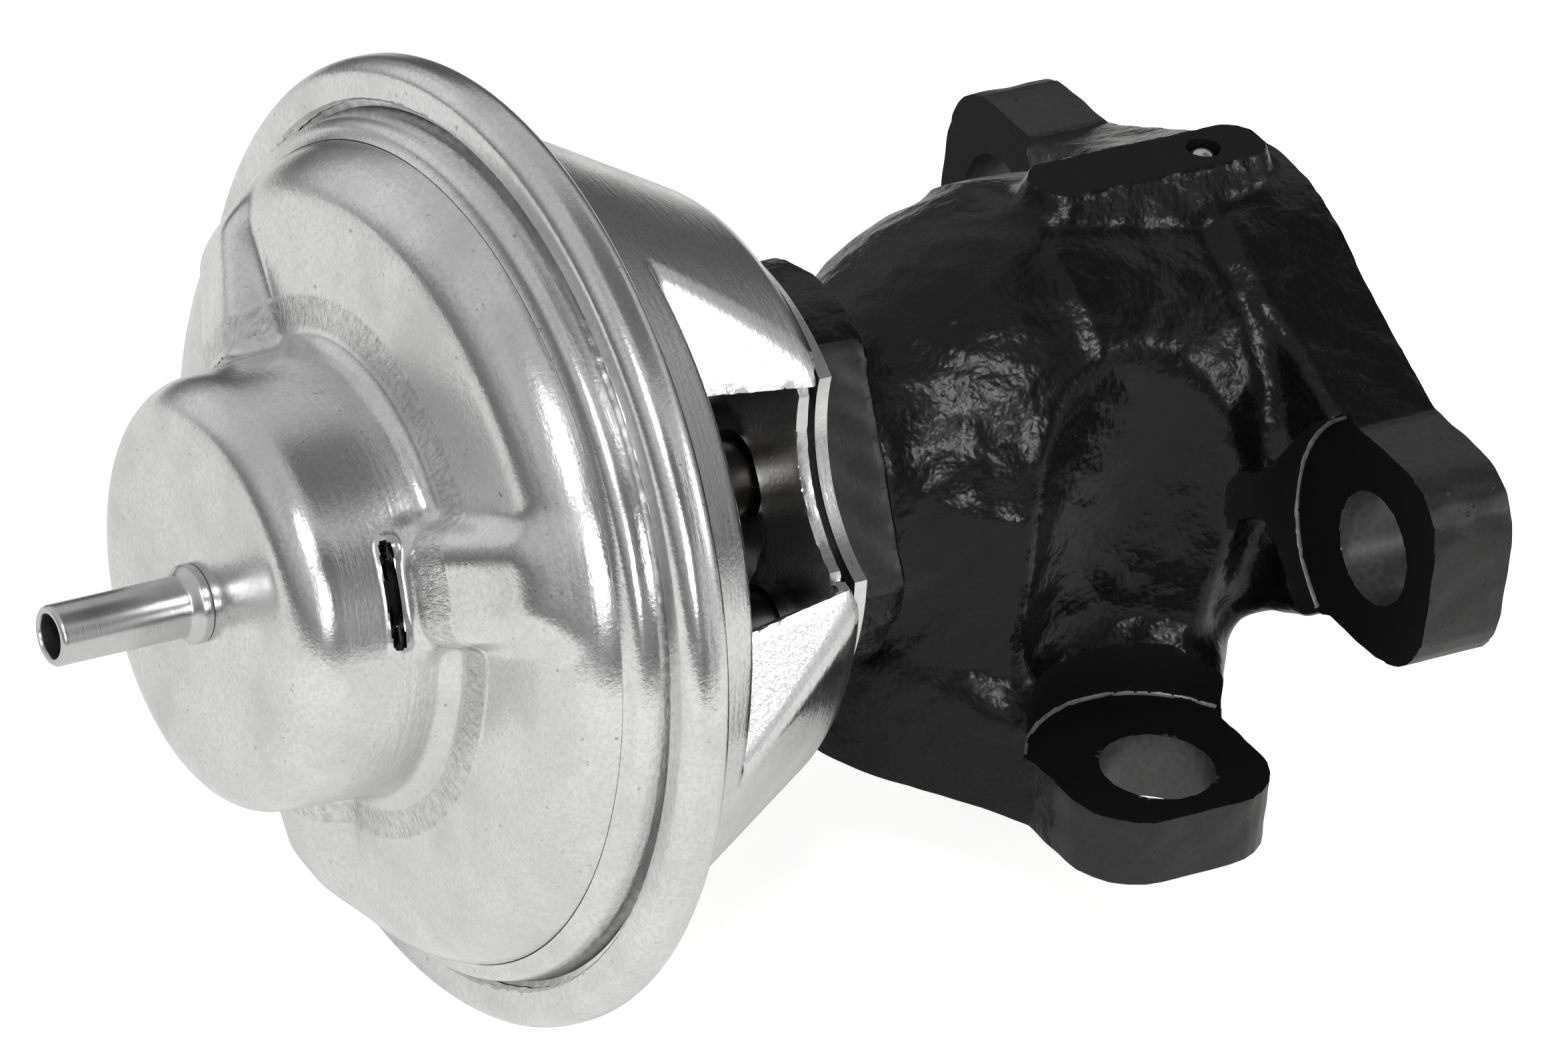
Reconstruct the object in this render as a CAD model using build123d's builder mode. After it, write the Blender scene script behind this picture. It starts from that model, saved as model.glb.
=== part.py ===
# Vacuum operated exhaust gas recirculation valve.
# Frame: Z up from the base flange face, X along the valve axis with the actuator towards -X.
# The origin is the centre of the base flange face, midway between its two bolt holes.
import os
from math import cos, radians, sin, sqrt

from build123d import *

os.makedirs("parts", exist_ok=True)

# ---- Cast housing ----
axis_height = 23.3          # valve axis above the base flange face
bulb_radius = 19.6          # round middle of the housing
column_radius = 17.0        # casting between the bulb and the base flange
rear_neck_radius = 17.3     # casting between the bulb and the rear flange
front_neck_radius = 12.5    # casting between the bulb and the actuator flange
rear_face = 22.9            # rear flange face behind the base bolt line
flange_round = 18.2         # round middle of both pipe flanges
flange_cast_height = 9.1    # both pipe flanges before spot facing
ear_half_width = 8.6
ear_corner = 5.5
ear_straight = 4.0          # straight side of an ear inside its hole
flare_share = 0.38          # where the flares meet the round middle
flare_height = 0.925
bolt_hole = 9.0             # M8 clearance
spot_face_radius = 10.4
base_bolt_spacing = 50.0
base_ear_reach = 6.8        # casting beyond the hole centre
base_ear_height = 5.7       # left under the spot face
rear_bolt_spacing = 55.0
rear_ear_reach = 7.8
rear_ear_height = 7.2
tool_relief_radius = 10.9   # scallops that clear a socket on the base bolts
gas_port = 22.0             # machined mouth in the base flange
gas_port_depth = 7.0
cast_passage = 20.0         # as cast, behind the mouth
outlet_port = 26.4          # machined mouth in the rear flange
outlet_port_depth = 6.0
pad_length = 21.0
pad_width = 5.4
pad_rise = 20.8             # pad top above the valve axis
pad_middle = 9.7
pad_skirt = 6.0
pad_draft = 14.0
plug_hole = 2.7
plug_position = 15.0
plug_depth = 3.0
plug_sink = 0.2             # plug below the pad's face
casting_fillet = 2.0
blend_angle = radians(50)    # where the neck's blend leaves the bulb
blend_dip = radians(36)
blend_hollow = 0.9

# ---- Actuator flange of the housing ----
neck_flange_radius = 16.2
neck_flat_distance = 13.3
neck_flange_height = 5.9
lobe_count = 3
first_window_angle = 150.0  # from +Y towards +Z
seal_pocket_radius = 8.4
seal_pocket_depth = 5.0
retainer_depth = 1.1        # back of the seal's retainer below the flange face
seal_side_gap = 0.1
retainer_gap = 0.8          # retainer clear of the stem

# ---- Valve train ----
stem_diameter = 6.0
stem_running_gap = 0.04
spigot_step = 0.8           # shoulder that the valve head rests on
collar_width = 2.5          # stem collar under the diaphragm plates
collar_height = 1.5
thread_end = 0.8            # shank beyond the nut
thread_chamfer = 0.5
guide_diameter = 11.0
guide_length = 13.0
guide_stand = 2.5           # guide stands into the chamber
head_diameter = 20.0
head_height = 2.6
head_chamfer = 1.2
seat_chamfer = 0.8
seat_outer_diameter = 25.4
seat_bore = 16.0
seat_height = 4.5
seat_gap = 0.05
valve_lift = 5.0
chamber_diameter = 24.0
shield_thickness = 0.8
shield_margin = 2.0         # gas shield clear of the chamber's wall
seat_depth = 9.4            # from the rear face to the back of the seat ring

# ---- Actuator can, distances along the axis from the rim plane ----
rim_plane = -49.2
sheet = 1.0
rim_radius = 37.5
rim_fold = 1.5
lip_width = 3.2             # fold of the rim over the cover
rim_step = 3.6              # rim outside the cone's mouth
case_depth = 22.1
cone_spread = 11.2          # the can's cone widens by this much, floor to rim
case_hole_radius = 8.9
facet_start = 7.1
facet_end_distance = 21.3
facet_start_distance = 23.9
window_start = 8.4
window_half_width = 9.2
window_end_half_width = 7.5
notch_radius = 12.8
notch_distance = 15.4       # nearest point of the floor notch to the axis
gasket_thickness = 0.8
gasket_notch = 1.2          # gasket's bows cut this much deeper than the floor's
backing_thickness = 1.1
backing_notch = 0.3
backing_radius = 19.4
shoulder_step = 1.1         # shoulder of the cover inside the lip
shoulder_depth = 4.2
dome_step = 1.6             # dome inside the shoulder
dome_depth = 8.6
dome_corner = 4.0
cover_edge_gap = 0.2        # cover's edge inside the folded rim
foot_inset = 0.6            # cover's step starts this far inside the lip
step_draft = 0.5            # drop of the shoulder across its width
dome_draft = 0.2
step_corner = 1.5
foot_corner = 1.2
cup_base_depth = 10.6
cup_base_radius = 17.2
cup_radius = 16.5
cup_depth = 23.0
cup_corner = 3.0
rib_count = 3
first_rib_angle = 153.0
rib_width = 9.0
rib_rise = 14.6
rib_margin = 2.1            # ribs end this far inside the dome's edge
rib_round = 2.5

# ---- Vacuum connection ----
nipple_diameter = 4.7
nipple_bore = 3.4
nipple_tip = 35.4
nipple_collar_radius = 3.1
nipple_collar_height = 1.0
nipple_tail = 0.5           # turned over inside the cup
edge_round = 0.5            # small broken edges

# ---- Diaphragm group ----
rubber = 0.8
plate_sheet = 1.0
diaphragm_middle = 2.5      # rubber centre behind the rim plane when closed
plate_margin = 13.5          # free diaphragm between the rim and the lower plate
plate_step = 3.0            # upper plate inside the lower one
plate_turn = 2.4            # turned edges of both plates
plate_turn_round = 1.4
bead_gap = 0.1              # rubber inside the folded rim
roll_gap = 1.2              # rubber clear of the can's wall
roll_wall = 2.6             # run of the roll's outer wall
roll_flat = 3.0             # roll's floor starts this far outside the lower plate
roll_inner = 1.0            # plate's turned edge clear of the rubber
roll_dip = 1.9
roll_round = 1.2
spring_wire = 2.2
spring_radius = 12.2
spring_turns = 5.5
spring_clearance = 0.05
shank_diameter = 5.0
shank_clearance = 0.3
nut_width = 8.0
nut_height = 4.0
washer_height = 0.9
nut_washer_radius = 6.0

# ---- Case screws ----
screw_circle = 12.9
screw_diameter = 4.0
screw_head_radius = 3.5
screw_head_height = 2.6
screw_reach = 7.0           # into the housing
drill_point = 0.5           # tapped hole beyond the screw's end
washer_radius = 3.7
plain_washer_height = 0.7
spring_washer_height = 0.9
plain_washer_gap = 0.15     # round the screw
spring_washer_gap = 0.1
spring_washer_inset = 0.3   # inside the screw head
socket_radius = 1.75
socket_depth = 1.56

# ---- Clearances ----
close_fit = 0.01            # pressed and clamped round parts
screw_clearance = 0.3       # screw shanks in plain holes
face_gap = 0.02             # faces that bear on each other
seal_gap = 0.3              # soft ring round the stem

# ---- Radii that follow the rim ----
lip_radius = rim_radius - lip_width
case_mouth_radius = rim_radius - rim_step
case_end_radius = case_mouth_radius - cone_spread
shoulder_radius = lip_radius - shoulder_step
dome_radius = shoulder_radius - dome_step
rib_reach = dome_radius - rib_margin
lower_plate_radius = rim_radius - plate_margin
upper_plate_radius = lower_plate_radius - plate_step
pad_top = axis_height + pad_rise

# ---- Planes and axes shared by the round parts ----
valve_axis = Axis((0, 0, axis_height), (1, 0, 0))
profile_plane = Plane(origin=(rim_plane, 0, axis_height), x_dir=(1, 0, 0), z_dir=(0, -1, 0))


def across(distance):
    """Plane square to the valve axis at a distance behind the rim plane, local x along +Y."""
    return Plane(origin=(rim_plane + distance, 0, axis_height), x_dir=(0, 1, 0), z_dir=(1, 0, 0))


def station(x_position):
    """Plane square to the valve axis at a place in the part's own frame."""
    return Plane(origin=(x_position, 0, axis_height), x_dir=(0, 1, 0), z_dir=(1, 0, 0))


def flange_outline(spacing, reach):
    """Two-bolt flange: a round middle drawn out to two straight-sided ears, holes along local x."""
    half = spacing / 2
    fade = sqrt(flange_round**2 - ear_half_width**2)
    with BuildSketch(Plane.XY) as outline:
        Circle(flange_round)
        with BuildLine():
            Polyline(
                (half - ear_straight, ear_half_width),
                (half + reach, ear_half_width),
                (half + reach, -ear_half_width),
                (half - ear_straight, -ear_half_width),
                (fade * flare_share, -flange_round * flare_height),
                (-fade * flare_share, -flange_round * flare_height),
                (-half + ear_straight, -ear_half_width),
                (-half - reach, -ear_half_width),
                (-half - reach, ear_half_width),
                (-half + ear_straight, ear_half_width),
                (-fade * flare_share, flange_round * flare_height),
                (fade * flare_share, flange_round * flare_height),
                close=True,
            )
        make_face()
        corners = outline.vertices().group_by(Axis.X)
        fillet(corners[0] + corners[-1], ear_corner)
    return outline.sketch


base_outline = flange_outline(base_bolt_spacing, base_ear_reach)
rear_outline = flange_outline(rear_bolt_spacing, rear_ear_reach)

base_plane = Plane(origin=(0, 0, 0), x_dir=(0, 1, 0), z_dir=(0, 0, 1))
rear_plane = Plane(origin=(rear_face, 0, axis_height), x_dir=(0, 1, 0), z_dir=(1, 0, 0))

# Axial stations of the neck, in the part's own frame
floor_outside = rim_plane + case_depth
backing_front = floor_outside + gasket_thickness
neck_face = backing_front + backing_thickness
neck_back = neck_face + neck_flange_height
seat_front = rear_face - seat_depth - seat_height
seat_back = seat_front + seat_height
pocket_floor = neck_face + seal_pocket_depth
chamber_front = pocket_floor + guide_length - guide_stand
window_angles = [first_window_angle + 360 / lobe_count * i for i in range(lobe_count)]
screw_angles = [a + 180 / lobe_count for a in window_angles]

# Housing
with BuildPart() as valve_body:
    # flanges before machining
    with BuildSketch(base_plane):
        add(base_outline)
    extrude(amount=flange_cast_height)
    with BuildSketch(rear_plane):
        add(rear_outline)
    extrude(amount=-flange_cast_height)
    # bulb with its column and neck
    with BuildSketch(Plane.XY):
        Circle(column_radius)
    extrude(amount=axis_height)
    with BuildSketch(station(0)):
        Circle(rear_neck_radius)
    extrude(amount=rear_face)
    with Locations((0, 0, axis_height)):
        Sphere(bulb_radius)
    # pad on top
    with BuildSketch(Plane.XY.offset(pad_top)):
        with Locations((pad_middle, 0)):
            SlotOverall(pad_length, pad_width)
    extrude(amount=-pad_skirt, taper=-pad_draft)
    # neck, its blend into the bulb, and the three-lobed actuator flange
    with BuildSketch(station(neck_face)):
        Circle(front_neck_radius)
    extrude(amount=-neck_face)
    with BuildSketch(Plane(origin=(0, 0, axis_height), x_dir=(1, 0, 0), z_dir=(0, -1, 0))):
        with BuildLine():
            foot = (neck_back, front_neck_radius)
            top = (-bulb_radius * cos(blend_angle), bulb_radius * sin(blend_angle))
            sunk = front_neck_radius - casting_fillet
            ThreePointArc(foot, (-bulb_radius * cos(blend_dip), front_neck_radius + blend_hollow), top)
            Polyline(top, (top[0], sunk), (neck_back, sunk), foot)
        make_face()
    revolve(axis=valve_axis)
    with BuildSketch(station(neck_face)):
        Circle(neck_flange_radius)
        with PolarLocations(neck_flat_distance + neck_flange_radius, lobe_count, first_window_angle):
            Rectangle(2 * neck_flange_radius, 4 * neck_flange_radius, mode=Mode.SUBTRACT)
    extrude(amount=neck_flange_height)
    # spot faces and tool relief over the base bolts
    for side in (-1, 1):
        bolt_y = side * base_bolt_spacing / 2
        with BuildSketch(Plane.XY.offset(base_ear_height)):
            with Locations((0, bolt_y)):
                Circle(spot_face_radius)
        extrude(amount=axis_height * 2, mode=Mode.SUBTRACT)
        with BuildSketch(Plane.XY.offset(flange_cast_height)):
            with Locations((0, bolt_y)):
                Circle(tool_relief_radius)
        extrude(amount=axis_height * 2, mode=Mode.SUBTRACT)
        with BuildSketch(Plane.XY):
            with Locations((0, bolt_y)):
                Circle(bolt_hole / 2)
        extrude(amount=base_ear_height, mode=Mode.SUBTRACT)
    # spot faces and holes of the rear flange
    for side in (-1, 1):
        bolt_y = side * rear_bolt_spacing / 2
        with BuildSketch(station(rear_face - rear_ear_height)):
            with Locations((bolt_y, 0)):
                Circle(spot_face_radius)
        extrude(amount=-flange_cast_height, mode=Mode.SUBTRACT)
        with BuildSketch(station(rear_face)):
            with Locations((bolt_y, 0)):
                Circle(bolt_hole / 2)
        extrude(amount=-rear_ear_height, mode=Mode.SUBTRACT)
    # gas ways: inlet from below, chamber, seat bore from the rear
    with BuildSketch(Plane.XY):
        Circle(gas_port / 2)
    extrude(amount=gas_port_depth, mode=Mode.SUBTRACT)
    with BuildSketch(Plane.XY.offset(gas_port_depth)):
        Circle(cast_passage / 2)
    extrude(amount=axis_height - gas_port_depth, mode=Mode.SUBTRACT)
    with BuildSketch(station(chamber_front)):
        Circle(chamber_diameter / 2)
    extrude(amount=seat_front - chamber_front, mode=Mode.SUBTRACT)
    with BuildSketch(station(seat_front)):
        Circle(seat_outer_diameter / 2)
    extrude(amount=seat_height, mode=Mode.SUBTRACT)
    with BuildSketch(station(seat_back)):
        Circle(seat_outer_diameter / 2)
    extrude(amount=rear_face - seat_back, mode=Mode.SUBTRACT)
    with BuildSketch(rear_plane):
        Circle(outlet_port / 2)
    extrude(amount=-outlet_port_depth, mode=Mode.SUBTRACT)
    # guide bore, seal pocket and tapped screw holes in the neck
    with BuildSketch(station(neck_face)):
        Circle(guide_diameter / 2)
    extrude(amount=chamber_front - neck_face, mode=Mode.SUBTRACT)
    with BuildSketch(station(neck_face)):
        Circle(seal_pocket_radius)
    extrude(amount=seal_pocket_depth, mode=Mode.SUBTRACT)
    for angle in screw_angles:
        with BuildSketch(station(neck_face)):
            with PolarLocations(screw_circle, 1, angle):
                Circle(screw_diameter / 2 + close_fit)
        extrude(amount=screw_reach + drill_point, mode=Mode.SUBTRACT)
    # plug hole in the pad
    with BuildSketch(Plane.XY.offset(pad_top)):
        with Locations((plug_position, 0)):
            Circle(plug_hole / 2)
    extrude(amount=-plug_depth, mode=Mode.SUBTRACT)
valve_body.part.label = "valve_body"
export_step(valve_body.part, "parts/valve_body.step")

with BuildPart() as pad_plug:
    with Locations((plug_position, 0, pad_top - plug_hole / 2 - plug_sink)):
        Sphere(plug_hole / 2 - close_fit)
pad_plug.part.label = "pad_plug"
export_step(pad_plug.part, "parts/pad_plug.step")

# Valve train
head_front = seat_front - seat_gap
head_back = head_front - head_height
spigot_radius = stem_diameter / 2 - spigot_step

with BuildPart() as seat_ring:
    with BuildSketch(station(seat_front)):
        Circle(seat_outer_diameter / 2 - close_fit)
        Circle(seat_bore / 2, mode=Mode.SUBTRACT)
    extrude(amount=seat_height)
    chamfer(seat_ring.edges().filter_by(GeomType.CIRCLE).group_by(SortBy.RADIUS)[0], seat_chamfer)
seat_ring.part.label = "seat_ring"
export_step(seat_ring.part, "parts/seat_ring.step")

with BuildPart() as valve_head:
    with BuildSketch(station(head_back)):
        Circle(head_diameter / 2)
        Circle(spigot_radius + close_fit, mode=Mode.SUBTRACT)
    extrude(amount=head_height)
    rims = valve_head.edges().filter_by(GeomType.CIRCLE).group_by(SortBy.RADIUS)[-1]
    chamfer(rims.sort_by(Axis.X)[0], head_chamfer)
valve_head.part.label = "valve_head"
export_step(valve_head.part, "parts/valve_head.step")

upper_face = diaphragm_middle - rubber / 2
lower_face = diaphragm_middle + rubber / 2
collar_face = lower_face + plate_sheet
nut_back = upper_face - plate_sheet - washer_height
nut_front = nut_back - nut_height

with BuildPart() as valve_stem:
    with BuildSketch(station(rim_plane + collar_face)):
        Circle(stem_diameter / 2)
    extrude(amount=head_back - rim_plane - collar_face)
    with BuildSketch(station(rim_plane + collar_face)):
        Circle(stem_diameter / 2 + collar_width)
    extrude(amount=collar_height)
    with BuildSketch(station(rim_plane + nut_front - thread_end)):
        Circle(shank_diameter / 2)
    extrude(amount=collar_face - nut_front + thread_end)
    with BuildSketch(station(head_back)):
        Circle(spigot_radius)
    extrude(amount=head_height)
    tip = valve_stem.edges().filter_by(GeomType.CIRCLE).sort_by(Axis.X)[0]
    chamfer(tip, thread_chamfer)
valve_stem.part.label = "valve_stem"
export_step(valve_stem.part, "parts/valve_stem.step")

with BuildPart() as stem_guide:
    with BuildSketch(station(pocket_floor)):
        Circle(guide_diameter / 2 - close_fit)
        Circle(stem_diameter / 2 + stem_running_gap, mode=Mode.SUBTRACT)
    extrude(amount=guide_length)
    ends = stem_guide.edges().filter_by(GeomType.CIRCLE).group_by(SortBy.RADIUS)[-1]
    chamfer(ends, 0.5)
stem_guide.part.label = "stem_guide"
export_step(stem_guide.part, "parts/stem_guide.step")

seal_back = pocket_floor - face_gap
retainer_back = neck_face + retainer_depth
with BuildPart() as stem_seal:
    with BuildSketch(station(retainer_back + face_gap)):
        Circle(seal_pocket_radius - seal_side_gap)
        Circle(stem_diameter / 2 + seal_gap, mode=Mode.SUBTRACT)
    extrude(amount=seal_back - retainer_back - face_gap)
stem_seal.part.label = "stem_seal"
export_step(stem_seal.part, "parts/stem_seal.step")

with BuildPart() as seal_retainer:
    with BuildSketch(station(retainer_back - plate_sheet)):
        Circle(seal_pocket_radius - close_fit)
        Circle(stem_diameter / 2 + retainer_gap, mode=Mode.SUBTRACT)
    extrude(amount=plate_sheet)
seal_retainer.part.label = "seal_retainer"
export_step(seal_retainer.part, "parts/seal_retainer.step")

with BuildPart() as gas_shield:
    with BuildSketch(station(chamber_front + face_gap)):
        Circle(chamber_diameter / 2 - shield_margin)
        Circle(guide_diameter / 2 + close_fit, mode=Mode.SUBTRACT)
    extrude(amount=shield_thickness)
gas_shield.part.label = "gas_shield"
export_step(gas_shield.part, "parts/gas_shield.step")

# Gasket stack between the can and the housing


def stack_plate(start, thickness, radius, notch):
    """Round plate with a bow cut out of it behind each window and a hole for each screw."""
    with BuildPart() as plate:
        with BuildSketch(station(start)):
            Circle(radius)
            Circle(case_hole_radius, mode=Mode.SUBTRACT)
            with PolarLocations(notch + notch_radius, lobe_count, first_window_angle):
                Circle(notch_radius, mode=Mode.SUBTRACT)
            with PolarLocations(screw_circle, lobe_count, screw_angles[0]):
                Circle(screw_diameter / 2 + screw_clearance, mode=Mode.SUBTRACT)
        extrude(amount=thickness)
    return plate.part


mounting_gasket = stack_plate(
    floor_outside + face_gap,
    gasket_thickness - 2 * face_gap,
    neck_flange_radius,
    notch_distance - gasket_notch,
)
mounting_gasket.label = "mounting_gasket"
export_step(mounting_gasket, "parts/mounting_gasket.step")

backing_plate = stack_plate(
    backing_front, backing_thickness - face_gap, backing_radius, notch_distance - backing_notch
)
backing_plate.label = "backing_plate"
export_step(backing_plate, "parts/backing_plate.step")

# Lower half of the can: a pressed cone with three flats, each with a window
can_sheet_gap = rubber / 2
flange_front = can_sheet_gap
flange_back = flange_front + sheet
cover_flange_back = -can_sheet_gap
cover_flange_front = cover_flange_back - sheet
lip_front = cover_flange_front - sheet
cone_slope = (case_mouth_radius - case_end_radius) / (case_depth - flange_back)
cone_stretch = sqrt(1 + cone_slope**2)
facet_slope = (facet_start_distance - facet_end_distance) / (case_depth - facet_start)


def window_plane(angle):
    """Plane through the valve axis, local x along the axis and local y towards a window."""
    z_dir = (0, -sin(radians(angle)), cos(radians(angle)))
    return Plane(origin=(rim_plane, 0, axis_height), x_dir=(1, 0, 0), z_dir=z_dir)


def case_form(inset):
    """Solid bounded by the outside of the can (inset 0) or by its inside (inset one sheet)."""
    depth = case_depth - inset
    mouth = case_mouth_radius + cone_slope * sheet - inset * cone_stretch
    end = case_end_radius + cone_slope * inset - inset * cone_stretch
    with BuildPart() as form:
        with BuildSketch(profile_plane):
            with BuildLine():
                Polyline((flange_front, 0), (flange_front, mouth), (depth, end), (depth, 0), close=True)
            make_face()
        revolve(axis=valve_axis)
        for angle in window_angles:
            start = facet_start - inset
            height = facet_start_distance + facet_slope * inset - inset
            with BuildSketch(window_plane(angle)):
                with BuildLine():
                    Polyline(
                        (start, height),
                        (case_depth + 1, height - facet_slope * (case_depth + 1 - start)),
                        (case_depth + 1, 2 * rim_radius),
                        (start, 2 * rim_radius),
                        close=True,
                    )
                make_face()
            extrude(amount=rim_radius, both=True, mode=Mode.SUBTRACT)
    return form.part


window_foot = notch_distance + notch_radius - sqrt(notch_radius**2 - window_end_half_width**2)
window_flare = (window_half_width - window_end_half_width) / (case_depth - window_start)

with BuildPart() as lower_case:
    add(case_form(0))
    add(case_form(sheet), mode=Mode.SUBTRACT)
    # rolled rim that folds over the flange of the cover
    with BuildSketch(profile_plane):
        with BuildLine():
            Polyline(
                (flange_front, case_mouth_radius - sheet / 2),
                (flange_back, case_mouth_radius - sheet / 2),
                (flange_back, rim_radius),
                (lip_front, rim_radius),
                (lip_front, lip_radius),
                (cover_flange_front, lip_radius),
                (cover_flange_front, rim_radius - sheet),
                (flange_front, rim_radius - sheet),
                close=True,
            )
        rim = make_face()
        fillet(rim.vertices().group_by(Axis.Y)[-1], rim_fold)
    revolve(axis=valve_axis)
    # windows, from the flats down to the floor
    for angle in window_angles:
        outward = Vector(0, cos(radians(angle)), sin(radians(angle)))
        foot = Vector(rim_plane, 0, axis_height) + outward * window_foot
        with BuildSketch(Plane(origin=foot, x_dir=(1, 0, 0), z_dir=outward)):
            with BuildLine():
                end = case_depth + 1
                end_half = window_end_half_width - window_flare
                Polyline(
                    (window_start, window_half_width),
                    (end, end_half),
                    (end, -end_half),
                    (window_start, -window_half_width),
                    close=True,
                )
            make_face()
        extrude(amount=rim_radius, mode=Mode.SUBTRACT)
    # floor: centre hole, bows in front of the windows and screw holes
    with BuildSketch(across(case_depth)):
        Circle(case_hole_radius)
        with PolarLocations(notch_distance + notch_radius, lobe_count, first_window_angle):
            Circle(notch_radius)
        with PolarLocations(screw_circle, lobe_count, screw_angles[0]):
            Circle(screw_diameter / 2 + screw_clearance)
    extrude(amount=-sheet, mode=Mode.SUBTRACT)
lower_case.part.label = "lower_case"
export_step(lower_case.part, "parts/lower_case.step")

# Screws and their washers, one set in each lobe of the housing flange
floor_inside = case_depth - sheet
plain_front = floor_inside - face_gap - plain_washer_height
spring_front = plain_front - face_gap - spring_washer_height
head_seat = spring_front - face_gap
screw_end = neck_face - rim_plane + screw_reach

with BuildPart() as mounting_screws:
    with BuildSketch(across(head_seat)):
        with PolarLocations(screw_circle, lobe_count, screw_angles[0]):
            Circle(screw_diameter / 2)
    extrude(amount=screw_end - head_seat)
    with BuildSketch(across(head_seat)):
        with PolarLocations(screw_circle, lobe_count, screw_angles[0]):
            Circle(screw_head_radius)
    extrude(amount=-screw_head_height)
    with BuildSketch(across(head_seat - screw_head_height)):
        with PolarLocations(screw_circle, lobe_count, screw_angles[0]):
            RegularPolygon(socket_radius, 6)
    extrude(amount=socket_depth, mode=Mode.SUBTRACT)
mounting_screws.part.label = "mounting_screws"
export_step(mounting_screws.part, "parts/mounting_screws.step")

with BuildPart() as screw_washers:
    with BuildSketch(across(plain_front)):
        with PolarLocations(screw_circle, lobe_count, screw_angles[0]):
            Circle(washer_radius)
            Circle(screw_diameter / 2 + plain_washer_gap, mode=Mode.SUBTRACT)
    extrude(amount=plain_washer_height)
screw_washers.part.label = "screw_washers"
export_step(screw_washers.part, "parts/screw_washers.step")

with BuildPart() as lock_washers:
    with BuildSketch(across(spring_front)):
        with PolarLocations(screw_circle, lobe_count, screw_angles[0]):
            Circle(screw_head_radius - spring_washer_inset)
            Circle(screw_diameter / 2 + spring_washer_gap, mode=Mode.SUBTRACT)
    extrude(amount=spring_washer_height)
lock_washers.part.label = "lock_washers"
export_step(lock_washers.part, "parts/lock_washers.step")

# Cover: pressed dome, spring cup and three stiffening ribs
cover_edge = rim_radius - sheet - cover_edge_gap
annulus_slope = (cup_base_depth - dome_depth) / (dome_radius - cup_base_radius)


def rib_form(angle, inset):
    """Ramp from the cup wall out to the edge of the dome, rounded along its top."""
    fall = (rib_rise - dome_depth) / (rib_reach - cup_radius)
    drop = inset * sqrt(1 + fall**2)
    inner = cup_radius - sheet / 4 - 2 * inset
    foot = sheet / 2 + 2 * inset
    with BuildPart() as ramp:
        with BuildSketch(window_plane(angle)):
            with BuildLine():
                Polyline(
                    (-rib_rise + drop, inner),
                    (-rib_rise + drop, cup_radius),
                    (-dome_depth + drop, rib_reach),
                    (-dome_depth + foot, rib_reach),
                    (-dome_depth - annulus_slope * (rib_reach - inner) + foot, inner),
                    close=True,
                )
            make_face()
        extrude(amount=rib_width / 2 - inset, both=True)
        crest = ramp.faces().filter_by(lambda face: face.normal_at().X < -0.5).sort_by(SortBy.AREA)[-1]
        fillet(crest.edges().sort_by(SortBy.LENGTH)[-2:], rib_round - inset)
    return ramp.part


with BuildPart() as cover:
    with BuildSketch(profile_plane):
        with BuildLine():
            FilletPolyline(
                (cover_flange_front, cover_edge),
                (cover_flange_front, lip_radius - foot_inset),
                (-shoulder_depth, shoulder_radius),
                (-shoulder_depth - step_draft, dome_radius + dome_draft),
                (-dome_depth, dome_radius - dome_draft),
                (-cup_base_depth, cup_base_radius),
                (-cup_depth, cup_radius),
                (-cup_depth, nipple_diameter / 2 + close_fit),
                radius=[edge_round, foot_corner, step_corner, dome_corner, step_corner, cup_corner],
            )
            offset(amount=sheet, side=Side.LEFT, closed=True)
        make_face()
    revolve(axis=valve_axis)
    rib_angles = [first_rib_angle + 360 / rib_count * i for i in range(rib_count)]
    for angle in rib_angles:
        add(rib_form(angle, 0))
    for angle in rib_angles:
        add(rib_form(angle, sheet), mode=Mode.SUBTRACT)
cover.part.label = "cover"
export_step(cover.part, "parts/cover.step")

collar_foot = -cup_depth - face_gap
with BuildPart() as vacuum_nipple:
    with BuildSketch(across(-nipple_tip)):
        Circle(nipple_diameter / 2)
    extrude(amount=nipple_tip - cup_depth + sheet + nipple_tail)
    with BuildSketch(across(collar_foot)):
        Circle(nipple_collar_radius)
    extrude(amount=-nipple_collar_height)
    fillet(vacuum_nipple.edges().filter_by(GeomType.CIRCLE).sort_by(Axis.X)[0], edge_round)
    with BuildSketch(across(-nipple_tip)):
        Circle(nipple_bore / 2)
    extrude(amount=nipple_tip, mode=Mode.SUBTRACT)
vacuum_nipple.part.label = "vacuum_nipple"
export_step(vacuum_nipple.part, "parts/vacuum_nipple.step")

# Diaphragm group
shank_radius = shank_diameter / 2
bead_radius = cover_edge - bead_gap
roll_outer = case_mouth_radius - cone_stretch * sheet - roll_gap
roll_depth = diaphragm_middle + roll_dip

with BuildPart() as diaphragm:
    with BuildSketch(profile_plane):
        with BuildLine():
            FilletPolyline(
                (-rubber / 2 + face_gap, bead_radius),
                (-rubber / 2 + face_gap, roll_outer),
                (roll_depth - rubber / 2, roll_outer - roll_wall),
                (roll_depth - rubber / 2, lower_plate_radius + roll_flat),
                (upper_face + face_gap, lower_plate_radius + roll_inner),
                (upper_face + face_gap, shank_radius + shank_clearance),
                radius=[roll_inner, roll_round, roll_round, roll_inner],
            )
            offset(amount=rubber - 2 * face_gap, side=Side.LEFT, closed=True)
        make_face()
    revolve(axis=valve_axis)
diaphragm.part.label = "diaphragm"
export_step(diaphragm.part, "parts/diaphragm.step")

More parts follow.
